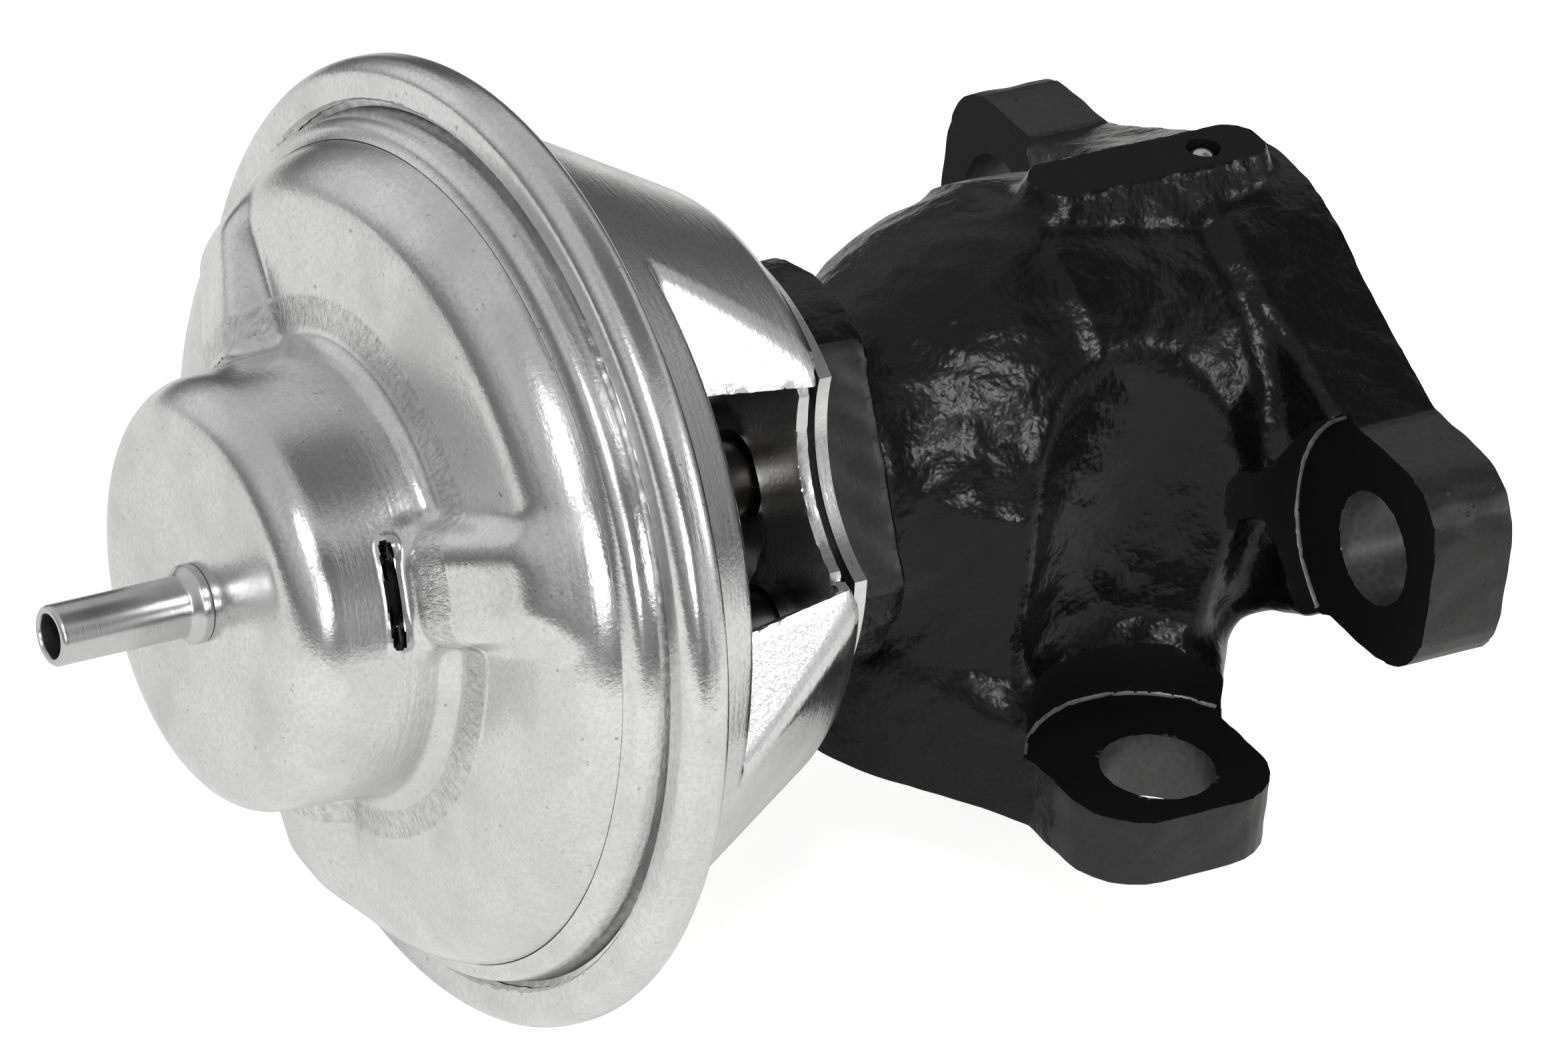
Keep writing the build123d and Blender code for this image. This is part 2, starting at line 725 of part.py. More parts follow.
with BuildPart() as upper_plate:
    with BuildSketch(profile_plane):
        with BuildLine():
            FilletPolyline(
                (upper_face, shank_radius + close_fit),
                (upper_face, upper_plate_radius),
                (upper_face - plate_turn, upper_plate_radius),
                radius=plate_turn_round,
            )
            offset(amount=plate_sheet, side=Side.LEFT, closed=True)
        make_face()
    revolve(axis=valve_axis)
upper_plate.part.label = "upper_plate"
export_step(upper_plate.part, "parts/upper_plate.step")

with BuildPart() as lower_plate:
    with BuildSketch(profile_plane):
        with BuildLine():
            FilletPolyline(
                (lower_face, shank_radius + close_fit),
                (lower_face, lower_plate_radius),
                (lower_face + plate_turn, lower_plate_radius),
                radius=plate_turn_round,
            )
            offset(amount=plate_sheet, side=Side.RIGHT, closed=True)
        make_face()
    revolve(axis=valve_axis)
lower_plate.part.label = "lower_plate"
export_step(lower_plate.part, "parts/lower_plate.step")

with BuildPart() as nut_washer:
    with BuildSketch(across(nut_back)):
        Circle(nut_washer_radius)
        Circle(shank_radius + close_fit, mode=Mode.SUBTRACT)
    extrude(amount=washer_height)
nut_washer.part.label = "nut_washer"
export_step(nut_washer.part, "parts/nut_washer.step")

with BuildPart() as stem_nut:
    with BuildSketch(across(nut_front)):
        RegularPolygon(nut_width / 2, 6, major_radius=False)
        Circle(shank_radius + close_fit, mode=Mode.SUBTRACT)
    extrude(amount=nut_height)
stem_nut.part.label = "stem_nut"
export_step(stem_nut.part, "parts/stem_nut.step")

spring_foot = upper_face - plate_sheet - spring_wire / 2 - spring_clearance
spring_top = -cup_depth + sheet + spring_wire / 2 + spring_clearance
spring_height = spring_foot - spring_top
with BuildPart() as return_spring:
    with BuildLine() as coil:
        Helix(
            pitch=spring_height / spring_turns,
            height=spring_height,
            radius=spring_radius,
            center=(rim_plane + spring_top, 0, axis_height),
            direction=(1, 0, 0),
        )
    with BuildSketch(Plane(origin=coil.line @ 0, z_dir=coil.line % 0)):
        Circle(spring_wire / 2)
    sweep(path=coil.line, is_frenet=True)
return_spring.part.label = "return_spring"
export_step(return_spring.part, "parts/return_spring.step")
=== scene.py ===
import bpy, math
import numpy as np
from mathutils import Matrix, Vector


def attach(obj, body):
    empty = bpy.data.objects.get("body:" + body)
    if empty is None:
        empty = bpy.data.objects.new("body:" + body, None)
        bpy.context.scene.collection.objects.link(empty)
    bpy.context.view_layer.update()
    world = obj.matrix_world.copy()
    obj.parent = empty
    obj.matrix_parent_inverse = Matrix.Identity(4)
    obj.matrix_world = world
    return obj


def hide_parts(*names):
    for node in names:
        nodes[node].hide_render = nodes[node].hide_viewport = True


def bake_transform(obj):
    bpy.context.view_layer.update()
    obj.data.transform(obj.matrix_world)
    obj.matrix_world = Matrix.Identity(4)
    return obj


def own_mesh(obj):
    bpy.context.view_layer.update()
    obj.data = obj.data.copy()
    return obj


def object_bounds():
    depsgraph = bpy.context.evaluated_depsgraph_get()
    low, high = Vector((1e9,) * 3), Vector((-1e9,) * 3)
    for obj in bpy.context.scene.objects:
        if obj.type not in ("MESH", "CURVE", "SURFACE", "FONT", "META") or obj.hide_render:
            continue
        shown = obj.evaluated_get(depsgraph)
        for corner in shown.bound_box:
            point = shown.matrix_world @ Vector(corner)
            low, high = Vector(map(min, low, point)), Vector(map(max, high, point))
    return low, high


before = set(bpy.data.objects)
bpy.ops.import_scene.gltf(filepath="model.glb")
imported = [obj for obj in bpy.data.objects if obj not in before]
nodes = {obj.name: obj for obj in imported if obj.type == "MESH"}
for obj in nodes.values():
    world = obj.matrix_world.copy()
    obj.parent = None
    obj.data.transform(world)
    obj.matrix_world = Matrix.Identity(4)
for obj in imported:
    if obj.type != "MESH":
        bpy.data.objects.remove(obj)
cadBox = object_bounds()
print("frame loaded:", len(nodes), "nodes")

bpy.context.scene.view_settings.view_transform = "Standard"
axisHeight = 0.0233  # valve axis above the base face, in metres for materials
axisMm = 23.3  # and in millimetres for surfaces
rimPlaneMm = 49.2  # the can's rim lies this far in front of the base port's axis
screwCircle = 12.9  # the screws that hold the can, mm from the valve axis
flatTurns = (150, 270, 30)  # degrees round the valve axis of the flats on the can and on its flange


def addObject(name, data):
    obj = bpy.data.objects.new(name, data)
    bpy.context.scene.collection.objects.link(obj)
    return obj


def toLinear(hexColour):
    # sRGB hex to linear light, with alpha 1
    values = [int(hexColour[i:i + 2], 16) / 255 for i in (1, 3, 5)]
    return [v / 12.92 if v <= 0.04045 else ((v + 0.055) / 1.055) ** 2.4 for v in values] + [1.0]


# tools for materials

def addNode(tree, kind, settings):
    # one node: each setting is a property, the value of an input, or an output socket that feeds an input
    node = tree.nodes.new(kind)
    for key, value in settings.items():
        if isinstance(value, bpy.types.NodeSocket):
            tree.links.new(value, node.inputs[key])
        elif key in node.inputs.keys() or isinstance(key, int):
            node.inputs[key].default_value = value
        else:
            setattr(node, key, value)
    return node


def emptyTree(owner):
    owner.use_nodes = True
    owner.node_tree.nodes.clear()
    return owner.node_tree


def newMaterial(name):
    # a material, and the object's own coordinates to place its patterns in
    material = bpy.data.materials.new(name)
    return material, addNode(emptyTree(material), "ShaderNodeTexCoord", {}).outputs["Object"]


# each of these works in the node tree of the first socket that it is given

def noise(place, scale, detail, roughness=0.5):
    # cloudy pattern from 0 to 1, with one scale or with one along each axis
    if isinstance(scale, tuple):
        place = addNode(place.id_data, "ShaderNodeMapping", {"Scale": scale, "Vector": place}).outputs[0]
        scale = 1.0
    return addNode(place.id_data, "ShaderNodeTexNoise", {"Scale": scale, "Detail": detail,
                   "Roughness": roughness, "Vector": place}).outputs["Fac"]


def remap(value, start, end, low=0.0, high=1.0, curve="LINEAR"):
    # the range from start to end becomes low to high, and values beyond it are held there
    return addNode(value.id_data, "ShaderNodeMapRange", {"interpolation_type": curve, "Value": value,
                   "From Min": start, "From Max": end, "To Min": low, "To Max": high}).outputs[0]


def calculate(operation, *terms):
    return addNode(terms[0].id_data, "ShaderNodeMath", {"operation": operation,
                   **dict(enumerate(terms))}).outputs[0]


def mixColours(share, first, second):
    # from the first colour to the second as the share grows; the first is hex or another mix
    first = toLinear(first) if isinstance(first, str) else first
    return addNode(share.id_data, "ShaderNodeMix", {"data_type": "RGBA", 0: share, 6: first,
                   7: toLinear(second)}).outputs[2]


def bump(height, strength, distance, under=None):
    # relief by shading only, over another relief where one is given
    settings = {"Strength": strength, "Distance": distance, "Height": height}
    if under is not None:
        settings["Normal"] = under
    return addNode(height.id_data, "ShaderNodeBump", settings).outputs[0]


def finishMaterial(material, colour, normal, roughness, metallic=0.0, gloss=0.5):
    shader = addNode(material.node_tree, "ShaderNodeBsdfPrincipled", {
        "Base Color": colour, "Normal": normal, "Roughness": roughness, "Metallic": metallic,
        "Specular IOR Level": gloss})
    addNode(material.node_tree, "ShaderNodeOutputMaterial", {"Surface": shader.outputs[0]})
    return material


def useMaterial(obj, material):
    obj.data.materials.clear()
    obj.data.materials.append(material)


# finishes of the pressed and turned metal

zincSheet = {
    "colour": "#e2e2e2",  # clear zinc plating
    "stain": "#d0d0d0",  # handling marks and thin plating
    "grainShade": "#c4c4c4",  # between the grains of the plating
    "scratch": "#9c9c9c",  # specks, and where the draw ring scraped the sheet
    "roughness": 0.23, "roughSpread": 0.05,
    "cloudMm": 9.0,  # patches of duller plating
    "grainMm": 0.35,  # fine rolling grain
    "scuffInner": 0.0182, "scuffOuter": 0.0212,  # ring that the draw ring scraped, metres from the axis
}


def scuffRing(place, values=zincSheet):
    # short radial scratches in a ring about the valve axis, left by the draw ring of the press: noise in
    # polar coordinates, drawn out along the radius, that fades in and out at the ring's edges
    inner, outer, tree = values["scuffInner"], values["scuffOuter"], place.id_data
    axes = addNode(tree, "ShaderNodeSeparateXYZ", {0: place}).outputs
    height = calculate("SUBTRACT", axes["Z"], axisHeight)
    turn = calculate("ARCTAN2", height, axes["Y"])
    flat = addNode(tree, "ShaderNodeCombineXYZ", {"Y": axes["Y"], "Z": height}).outputs[0]
    radius = addNode(tree, "ShaderNodeVectorMath", {"operation": "LENGTH", 0: flat}).outputs["Value"]
    polar = addNode(tree, "ShaderNodeCombineXYZ", {"X": turn, "Y": radius}).outputs[0]
    lines = noise(polar, (55.0, 900.0, 1.0), 3.0, 0.7)
    rise = remap(radius, inner, inner + 0.0005)
    fall = remap(radius, outer - 0.0004, outer, 1.0, 0.0)
    return calculate("MULTIPLY", lines, calculate("MULTIPLY", rise, fall))


def makeZincSheet(name, scuffed, values=zincSheet):
    # cold-rolled sheet, pressed and clear zinc plated: bright, softly blurred, with dull patches and marks of
    # the drawing
    material, place = newMaterial(name)
    dull = remap(noise(place, 1000.0 / values["cloudMm"], 6.0, 0.62), 0.38, 0.66)
    speck = remap(noise(place, 1700.0, 2.0), 0.69, 0.80)
    grain = noise(place, 1000.0 / values["grainMm"], 3.0, 0.6)
    # lines round the valve axis, left by the press tool and the spinning of the rim
    lines = noise(place, (2600.0, 260.0, 260.0), 3.0)
    colour = mixColours(dull, values["colour"], values["stain"])
    colour = mixColours(remap(grain, 0.42, 0.64, 0.0, 0.5), colour, values["grainShade"])
    colour = mixColours(speck, colour, values["scratch"])
    normal = bump(lines, 0.32, 0.00006)
    if scuffed:
        scuffs = scuffRing(place)
        colour = mixColours(remap(scuffs, 0.42, 0.66, 0.0, 0.6), colour, values["scratch"])
        normal = bump(scuffs, 0.8, 0.00012, normal)
    normal = bump(grain, 0.42, 0.00004, normal)
    rough = remap(dull, 0.0, 1.0, values["roughness"] - values["roughSpread"],
                  values["roughness"] + values["roughSpread"])
    return finishMaterial(material, colour, normal, rough, metallic=1.0)


def makeTurnedSteel(name, bright, dark, roughness, lineMm):
    # bar turned on a lathe: fine rings across its axis catch the light, with a trace of oil darkening
    material, place = newMaterial(name)
    rings = noise(place, (1000.0 / lineMm, 60.0, 60.0), 2.0)
    cloud = noise(place, 220.0, 4.0)
    rough = remap(cloud, 0.0, 1.0, roughness - 0.05, roughness + 0.1)
    return finishMaterial(material, mixColours(cloud, dark, bright), bump(rings, 0.3, 0.00003),
                          rough, metallic=1.0)


# finishes of the casting

blackCast = {
    "colour": "#030303", "thin": "#0c0c0c",
    "roughness": 0.25,
    "gloss": 0.26,
    "pimpleMm": 0.60,  # sand grain showing through the coat
    "lumpMm": 3.2,  # larger unevenness of the mould
}


def makeBlackCast(values=blackCast):
    # sand-cast iron under a glossy black dip coat: an orange-peel skin of small pimples breaks up highlights
    material, place = newMaterial("blackCoatedCastIron")
    lumps = noise(place, 1000.0 / values["lumpMm"], 2.0)
    pimples = noise(place, 1000.0 / values["pimpleMm"], 1.2, 0.45)
    rough = remap(pimples, 0.0, 1.0, values["roughness"] - 0.06, values["roughness"] + 0.10)
    normal = bump(pimples, 0.8, 0.00009, bump(lumps, 0.6, 0.00035))
    return finishMaterial(material, mixColours(lumps, values["colour"], values["thin"]), normal, rough,
                          gloss=values["gloss"])


def makeBlackFace(name, colour, roughness, gloss, pitMm, pitDepth):
    # milled or ground iron under the same black coat: flat and satin, with open pores as small pits. Where
    # the colour given is lighter than black, it is painted sheen or highlight
    material, place = newMaterial(name)
    cells = addNode(place.id_data, "ShaderNodeTexVoronoi", {"Scale": 1000.0 / pitMm, "Randomness": 1.0,
                    "Vector": place}).outputs["Distance"]
    pits = bump(remap(cells, 0.05, 0.16), pitDepth, 0.0001)
    grain = noise(place, 1800.0, 3.0)
    return finishMaterial(material, mixColours(grain, "#050505", colour),
                          bump(grain, 0.25, 0.00004, pits), roughness, gloss=gloss)


def makeRubber(name, colour, roughness, clothMm):
    # moulded rubber: matte, faintly mottled, with the print of its fabric or mould
    material, place = newMaterial(name)
    cloud = noise(place, 300.0, 5.0)
    weave = addNode(place.id_data, "ShaderNodeTexWave", {"bands_direction": "DIAGONAL", "Distortion": 0.4,
                    "Scale": 1000.0 / clothMm / 6.28, "Vector": place}).outputs["Fac"]
    return finishMaterial(material, mixColours(cloud, "#0a0a0b", colour),
                          bump(weave, 0.3, 0.00006), roughness, gloss=0.3)


def makeGasketSheet():
    # compressed fibre sheet: grey-black, dry, with flecks of fibre
    material, place = newMaterial("fibreGasketSheet")
    fleck = noise(place, (900.0, 2600.0, 500.0), 4.0)
    return finishMaterial(material, mixColours(fleck, "#141414", "#3a3a39"),
                          bump(fleck, 0.5, 0.00005), 0.8, gloss=0.25)


finishes = {
    "zinc": makeZincSheet("zincPlatedSheet", False),
    "drawnZinc": makeZincSheet("zincPlatedDrawnCover", True),
    "brightSteel": makeTurnedSteel("brightTurnedSteel", "#dddddd", "#a6a6a6", 0.22, 0.12),
    "stainlessValve": makeTurnedSteel("groundStainlessSteel", "#c9c7c3", "#8d8a85", 0.26, 0.08),
    "bronze": makeTurnedSteel("sinteredBronze", "#b98a52", "#7c5a33", 0.38, 0.2),
    "springWire": makeTurnedSteel("drawnSpringWire", "#6d6f73", "#3b3c3f", 0.3, 0.5),
    # dark steel put into the folded slots of the cover as painted shade
    "creasePaintedShade": makeTurnedSteel("creasePaintedShadeSteel", "#3c3c3c", "#161616", 0.34, 0.5),
    "blackOxide": makeTurnedSteel("blackOxideSteel", "#4b4b4d", "#232324", 0.32, 0.16),
    "cast": makeBlackCast(),
    "machined": makeBlackFace("blackMilledIron", "#0b0b0b", 0.62, 0.18, 2.6, 0.25),
    # satin skin, lighter than the casting by painted sheen
    "groundWithPaintedSheen": makeBlackFace("groundSkinPaintedSheen", "#282828", 0.40, 0.42, 1.5, 0.6),
    # mid grey: painted light on the walls of the bolt holes
    "bore": makeBlackFace("drilledBorePaintedLight", "#4c4c4c", 0.36, 0.70, 3.0, 0.1),
    # pale grey: painted highlight along the rounded foot of each spot face's wall
    "cutCornerPaintedHighlight": makeBlackFace("paintedHighlightOnCutCorner", "#8a8a8a", 0.3, 0.8, 3.0, 0.1),
    "sealRubber": makeRubber("mouldedSealRubber", "#1c1c1d", 0.6, 0.8),
    "diaphragmRubber": makeRubber("fabricReinforcedRubber", "#222224", 0.66, 0.45),
    "gasket": makeGasketSheet(),
}
nodeFinishes = {
    "zinc": ("backing_plate", "upper_plate", "lower_plate", "gas_shield", "seal_retainer", "nut_washer",
             "stem_nut"),
    "stainlessValve": ("valve_stem", "valve_head", "seat_ring"),
    "blackOxide": ("mounting_screws", "screw_washers", "lock_washers"),
    "brightSteel": ("pad_plug",), "bronze": ("stem_guide",), "sealRubber": ("stem_seal",),
    "gasket": ("mounting_gasket",),
}
for finish, nodeNames in nodeFinishes.items():
    for nodeName in nodeNames:
        useMaterial(nodes[nodeName], finishes[finish])
print("finishes made:", len(finishes))

# tools for surfaces

def roundedMin(a, b, reach):
    # smooth union: where two forms are within reach of each other, a fillet of about that size joins them
    blendShare = np.maximum(reach - np.abs(a - b), 0) / reach
    return np.minimum(a, b) - blendShare ** 2 * reach / 4


def roundedMax(a, b, reach):
    # smooth cut or edge: the opposite of the smooth union
    return -roundedMin(-a, -b, reach)


def polygonDistance(u, v, corners):
    # signed distance in a plane to a closed outline: nearest edge, negative inside (crossing count)
    nearest = np.full(u.shape, 1e9)
    sign = np.ones(u.shape)
    for (ax, ay), (bx, by) in zip(corners, np.roll(corners, -1, axis=0)):
        ex, ey = bx - ax, by - ay
        wx, wy = u - ax, v - ay
        share = np.clip((wx * ex + wy * ey) / (ex * ex + ey * ey), 0, 1)
        nearest = np.minimum(nearest, (wx - ex * share) ** 2 + (wy - ey * share) ** 2)
        above, below = v >= ay, v < by
        left = ex * wy > ey * wx
        sign = np.where((above == below) & (above == left), -sign, sign)
    return sign * np.sqrt(nearest)


def outwards(y, h, turn):
    # distance from the valve axis, measured straight along one direction round it
    a = math.radians(turn)
    return y * math.cos(a) + h * math.sin(a)


def fromScrewLine(y, h, turn):
    # distance from the axis of one of the screws that hold the can
    a = math.radians(turn)
    return np.hypot(y - screwCircle * math.cos(a), h - screwCircle * math.sin(a))


def fieldMesh(name, field, finish, size):
    # Surface of a form given by a signed distance field, in millimetres. Every grid cell that the surface
    # crosses gets one point, where the tangent planes at its edge crossings meet best (least squares,
    # pulled slightly to their mean), so edges stay sharp. Four cells round a crossed grid edge make a face.
    low, high, step = size["gridLow"], size["gridHigh"], size["gridStep"]
    probe = step * 0.02  # for slopes, and how far a point stays inside its cell
    pull = 0.05  # weight of the mean against the planes
    axes = [np.arange(low[i], high[i] + step, step) for i in range(3)]
    cells = tuple(len(a) - 1 for a in axes)
    gridY, gridZ = np.meshgrid(axes[1], axes[2], indexing="ij")
    value = np.stack([field(np.full(gridY.shape, x), gridY, gridZ) for x in axes[0]])
    crossings, owners, flips = [], [], []
    for axis in range(3):
        others = [k for k in range(3) if k != axis]
        inside = np.moveaxis(value, axis, 0) < 0
        where = np.argwhere(inside[:-1] != inside[1:])
        index = np.empty_like(where)
        index[:, [axis] + others] = where
        nextIndex = index.copy()
        nextIndex[:, axis] += 1
        here, there = value[tuple(index.T)], value[tuple(nextIndex.T)]
        point = np.stack([axes[k][index[:, k]] for k in range(3)], axis=1)
        point[:, axis] += step * here / (here - there)
        crossings.append(point)
        for back in ((0, 0), (1, 0), (1, 1), (0, 1)):
            cell = index.copy()
            cell[:, others] -= back
            owners.append(np.ravel_multi_index(tuple(cell.T), cells))
        flips.append((here >= 0) if axis != 1 else (here < 0))  # so that faces look out
    points = np.concatenate(crossings)
    gradient = np.empty_like(points)
    for k in range(3):
        ahead, behind = list(points.T), list(points.T)
        ahead[k], behind[k] = ahead[k] + probe, behind[k] - probe
        gradient[:, k] = field(*ahead) - field(*behind)
    gradient /= np.maximum(np.linalg.norm(gradient, axis=1, keepdims=True), 1e-12)
    # one point per cell, from the planes of its crossings
    starts = np.cumsum([0] + [len(c) for c in crossings])
    pointId = np.concatenate([np.arange(starts[k], starts[k + 1]) for k in range(3) for _ in range(4)])
    used, local = np.unique(np.concatenate(owners), return_inverse=True)
    n = len(used)
    p, g = points[pointId], gradient[pointId]
    weight = np.bincount(local, minlength=n).astype(float)
    centre = np.stack([np.bincount(local, p[:, k], n) for k in range(3)], axis=1) / weight[:, None]
    away = (g * (p - centre[local])).sum(1)
    planes, target = np.empty((n, 3, 3)), np.empty((n, 3))
    for i in range(3):
        target[:, i] = np.bincount(local, g[:, i] * away, n)
        for j in range(3):
            planes[:, i, j] = np.bincount(local, g[:, i] * g[:, j], n)
    planes += np.eye(3) * pull
    shift = np.linalg.solve(planes, target[:, :, None])[:, :, 0]
    lowCorner = np.array(low) + np.stack(np.unravel_index(used, cells), axis=1) * step
    place = np.clip(centre + np.clip(shift, -step, step), lowCorner + probe, lowCorner + step - probe)
    # the four cells round each crossing, in their order
    faces = []
    for k in range(3):
        quad = local[4 * starts[k]:4 * starts[k + 1]].reshape(4, -1).T.copy()
        quad[flips[k]] = quad[flips[k]][:, ::-1]
        faces.append(quad)
    return meshObject(name, place, np.concatenate(faces).tolist(), finish, crease=0.55)


def meshObject(name, points, faces, finish, crease):
    # object of points in millimetres and faces, smooth but for edges sharper than the crease, in radians
    mesh = bpy.data.meshes.new(name)
    mesh.from_pydata((points * 0.001).tolist(), [], faces)
    mesh.validate()
    mesh.shade_smooth()
    mesh.set_sharp_from_angle(angle=crease)
    mesh.materials.append(finishes[finish])
    print(name + ":", len(mesh.polygons), "faces")
    return addObject(name, mesh)


def faceCentres(mesh):
    # x, y, z of every face in millimetres
    centre = np.empty(len(mesh.polygons) * 3)
    mesh.polygons.foreach_get("center", centre)
    return centre.reshape(-1, 3).T * 1000.0


def sortFaces(mesh, added, choice):
    # materials added to the mesh, and which of all its materials each face has
    for name in added:
        mesh.materials.append(finishes[name])
    mesh.polygons.foreach_set("material_index", choice.astype(np.int32))
    mesh.update()


def roundCorners(corners, radii, steps=8):
    # polyline (distance from the rim plane, radius) with its inner corners rounded by tangent arcs
    corners = np.array(corners, float)
    line = [corners[0]]
    for before, corner, after, radius in zip(corners[:-2], corners[1:-1], corners[2:], radii):
        a, b = before - corner, after - corner
        a, b = a / np.linalg.norm(a), b / np.linalg.norm(b)
        half = math.acos(np.clip(a @ b, -1, 1)) / 2
        reach = radius / math.tan(half)
        middle = corner + (a + b) / np.linalg.norm(a + b) * radius / math.sin(half)
        start, end = corner + a * reach - middle, corner + b * reach - middle
        turn = math.atan2(start[0] * end[1] - start[1] * end[0], start @ end)
        angles = np.linspace(0, turn, steps)
        line += [middle + [start[0] * math.cos(t) - start[1] * math.sin(t),
                           start[0] * math.sin(t) + start[1] * math.cos(t)] for t in angles]
    line.append(corners[-1])
    return np.array(line)


def evenSpacing(line, step):
    # the same line with points at an even distance, in millimetres
    length = np.concatenate([[0], np.cumsum(np.hypot(*np.diff(line, axis=0).T))])
    places = np.linspace(0, length[-1], int(length[-1] / step) + 2)
    return np.stack([np.interp(places, length, line[:, k]) for k in (0, 1)], axis=1)


def squareTo(line, distance):
    # steps of this length square to a line, towards the axis where it runs away from the nipple
    run = np.gradient(line, axis=0)
    run /= np.hypot(*run.T)[:, None]
    return np.stack([run[:, 1], -run[:, 0]], axis=1) * distance


def gridMesh(name, points, finish, closed=True):
    # closed ring of a mesh over a grid of points in millimetres: rows along a closed profile, columns round
    # the axis; where the profile is open, both of its ends get a cap
    rows, columns = points.shape[:2]
    index = np.arange(rows * columns).reshape(rows, columns)
    below = np.roll(index, -1, axis=0) if closed else index[1:]
    index = index if closed else index[:-1]
    quads = np.stack([index, below, np.roll(below, -1, axis=1), np.roll(index, -1, axis=1)], axis=-1)
    quads = quads.reshape(-1, 4)
    faces = quads.tolist()
    if not closed:
        faces += [list(range(columns)), list(range(rows * columns - 1, (rows - 1) * columns - 1, -1))]
    points = points.reshape(-1, 3)
    a, b, c, d = (points[quads[:, k]] - points.mean(axis=0) for k in range(4))
    if (a * (np.cross(b, c) + np.cross(c, d))).sum() < 0:   # volume by its faces: negative means inside out
        faces = [face[::-1] for face in faces]
    return meshObject(name, points, faces, finish, crease=0.7)


def fullTurn(columns):
    return np.linspace(0, 2 * np.pi, columns, endpoint=False)


def aroundAxis(distance, radius, angle):
    # part coordinates of points given by distance behind the rim plane, radius and angle round the valve axis
    return np.stack([distance - rimPlaneMm, radius * np.cos(angle), axisMm + radius * np.sin(angle)], axis=-1)


def turnProfile(line, angle):
    # a profile of (distance behind the rim plane, radius) turned round the valve axis
    return aroundAxis(line[:, :1] + 0 * angle, line[:, 1:] + 0 * angle, angle)


# cast housing

housing = {
    "gridStep": 0.5,  # mm between the points of the casting's surface
    "gridLow": (-26, -36, -1), "gridHigh": (24, 36, 45.5),
    "bulbRadius": 19.6, "bulbSquat": 1.07, "bulbNarrow": 1.14,
    "barrelRadius": 18.1, "barrelTop": 14.0, "barrelShoulder": 14.0,
    "columnRadius": 17.0, "rearNeckRadius": 17.0, "frontNeckRadius": 12.0,
    "fillet": 4.0,  # where the round forms run into each other
    "bulbFillet": 1.2, "frontFillet": 3.2, "flangeFillet": 3.0, "padFillet": 0.9, "neckFillet": 1.0,
    "edgeRound": 0.8,  # cast edges
    "rearFace": 22.897, "castHeight": 9.1,
    "baseHole": 25.0, "baseReach": 6.8, "baseEar": 5.7,
    "rearHole": 27.5, "rearReach": 7.8, "rearEar": 7.2,
    "earHalf": 8.6, "earRound": 5.5, "arcPoints": 7, "flangeRound": 18.2,
    "flareRun": 4,  # how far inside the hole's centre the straight ears end
    "flareShare": (0.38, 0.925),  # point of the flare, as shares of the round middle
    "spotFace": 10.4, "socketRelief": 11.7, "reliefFoot": 9.6, "reliefCurl": 4.0, "reliefLip": 1.1,
    "boltHole": 4.5,
    "padPlace": 9.7, "padHalf": 7.8, "padRound": 2.7, "padFoot": 36.0, "padTop": 44.1,
    "skirtSlope": 0.45, "skirtHeight": 3.4,  # the pad widens below its top
    "neckFlange": 16.2, "neckBack": -19.3, "neckFace": -25.2, "neckFlat": 13.3, "flatRound": 0.5,
    "plugPlace": 15.0, "plugRadius": 1.35, "plugFoot": 41.1,
    "gasPort": 11.0, "portDepth": 7.0, "riser": 10.0,
    "bores": (  # about the valve axis: radius, from x, to x
        (12.0, -9.7, 9.1), (12.7, 9.0, 50.0), (13.2, 16.9, 50.0), (5.5, -50.0, 0.0), (8.4, -50.0, -20.2),
    ),
    "screwTurns": (90, 210, 330), "screwHole": 2.0, "screwHoleEnd": -17.7,
    "lumpHeight": 0.10,
    "sideDepth": 0.7,  # how near a flange's outline a face counts as its side, which gets a satin finish with painted sheen
    "edgeMargin": 1.2, "earMargin": 1.0,  # what stays raw: the rounded edges and the round middle
    "flatDepth": 0.35, "flatFrom": -19.6,
    "cutDepth": 0.02, "boreDepth": 0.12,
}


def flangeCorners(hole, reach, size):
    # outline of a two-bolt flange: straight ears with rounded ends, straight flares to the round middle
    ear, corner = size["earHalf"], size["earRound"]
    end = hole + reach
    arc = np.linspace(0, np.pi / 2, size["arcPoints"])
    quarter = np.stack([end - corner + corner * np.cos(arc), ear - corner + corner * np.sin(arc)], axis=1)
    fade = math.sqrt(size["flangeRound"] ** 2 - ear ** 2)
    acrossShare, outShare = size["flareShare"]
    flare = np.array([[hole - size["flareRun"], ear], [fade * acrossShare, size["flangeRound"] * outShare]])
    upper = np.concatenate([quarter, flare])
    top = np.concatenate([upper, upper[::-1] * [-1, 1]])
    return np.concatenate([top, top[::-1] * [1, -1]])


baseCorners = flangeCorners(housing["baseHole"], housing["baseReach"], housing)
rearCorners = flangeCorners(housing["rearHole"], housing["rearReach"], housing)


def flangeSides(x, y, z, size=housing):
    # signed distances to the outline of the base flange and to that of the rear flange
    h = z - axisMm
    base = np.minimum(polygonDistance(y, x, baseCorners), np.hypot(x, y) - size["flangeRound"])
    rear = np.minimum(polygonDistance(y, h, rearCorners), np.hypot(y, h) - size["flangeRound"])
    return base, rear


def fromBolts(x, y, h, size=housing):
    # distances from the axes of the four flange bolts: base, rear, base, rear
    return [np.hypot(across, y - side * hole) for side in (-1, 1)
            for across, hole in ((x, size["baseHole"]), (h, size["rearHole"]))]


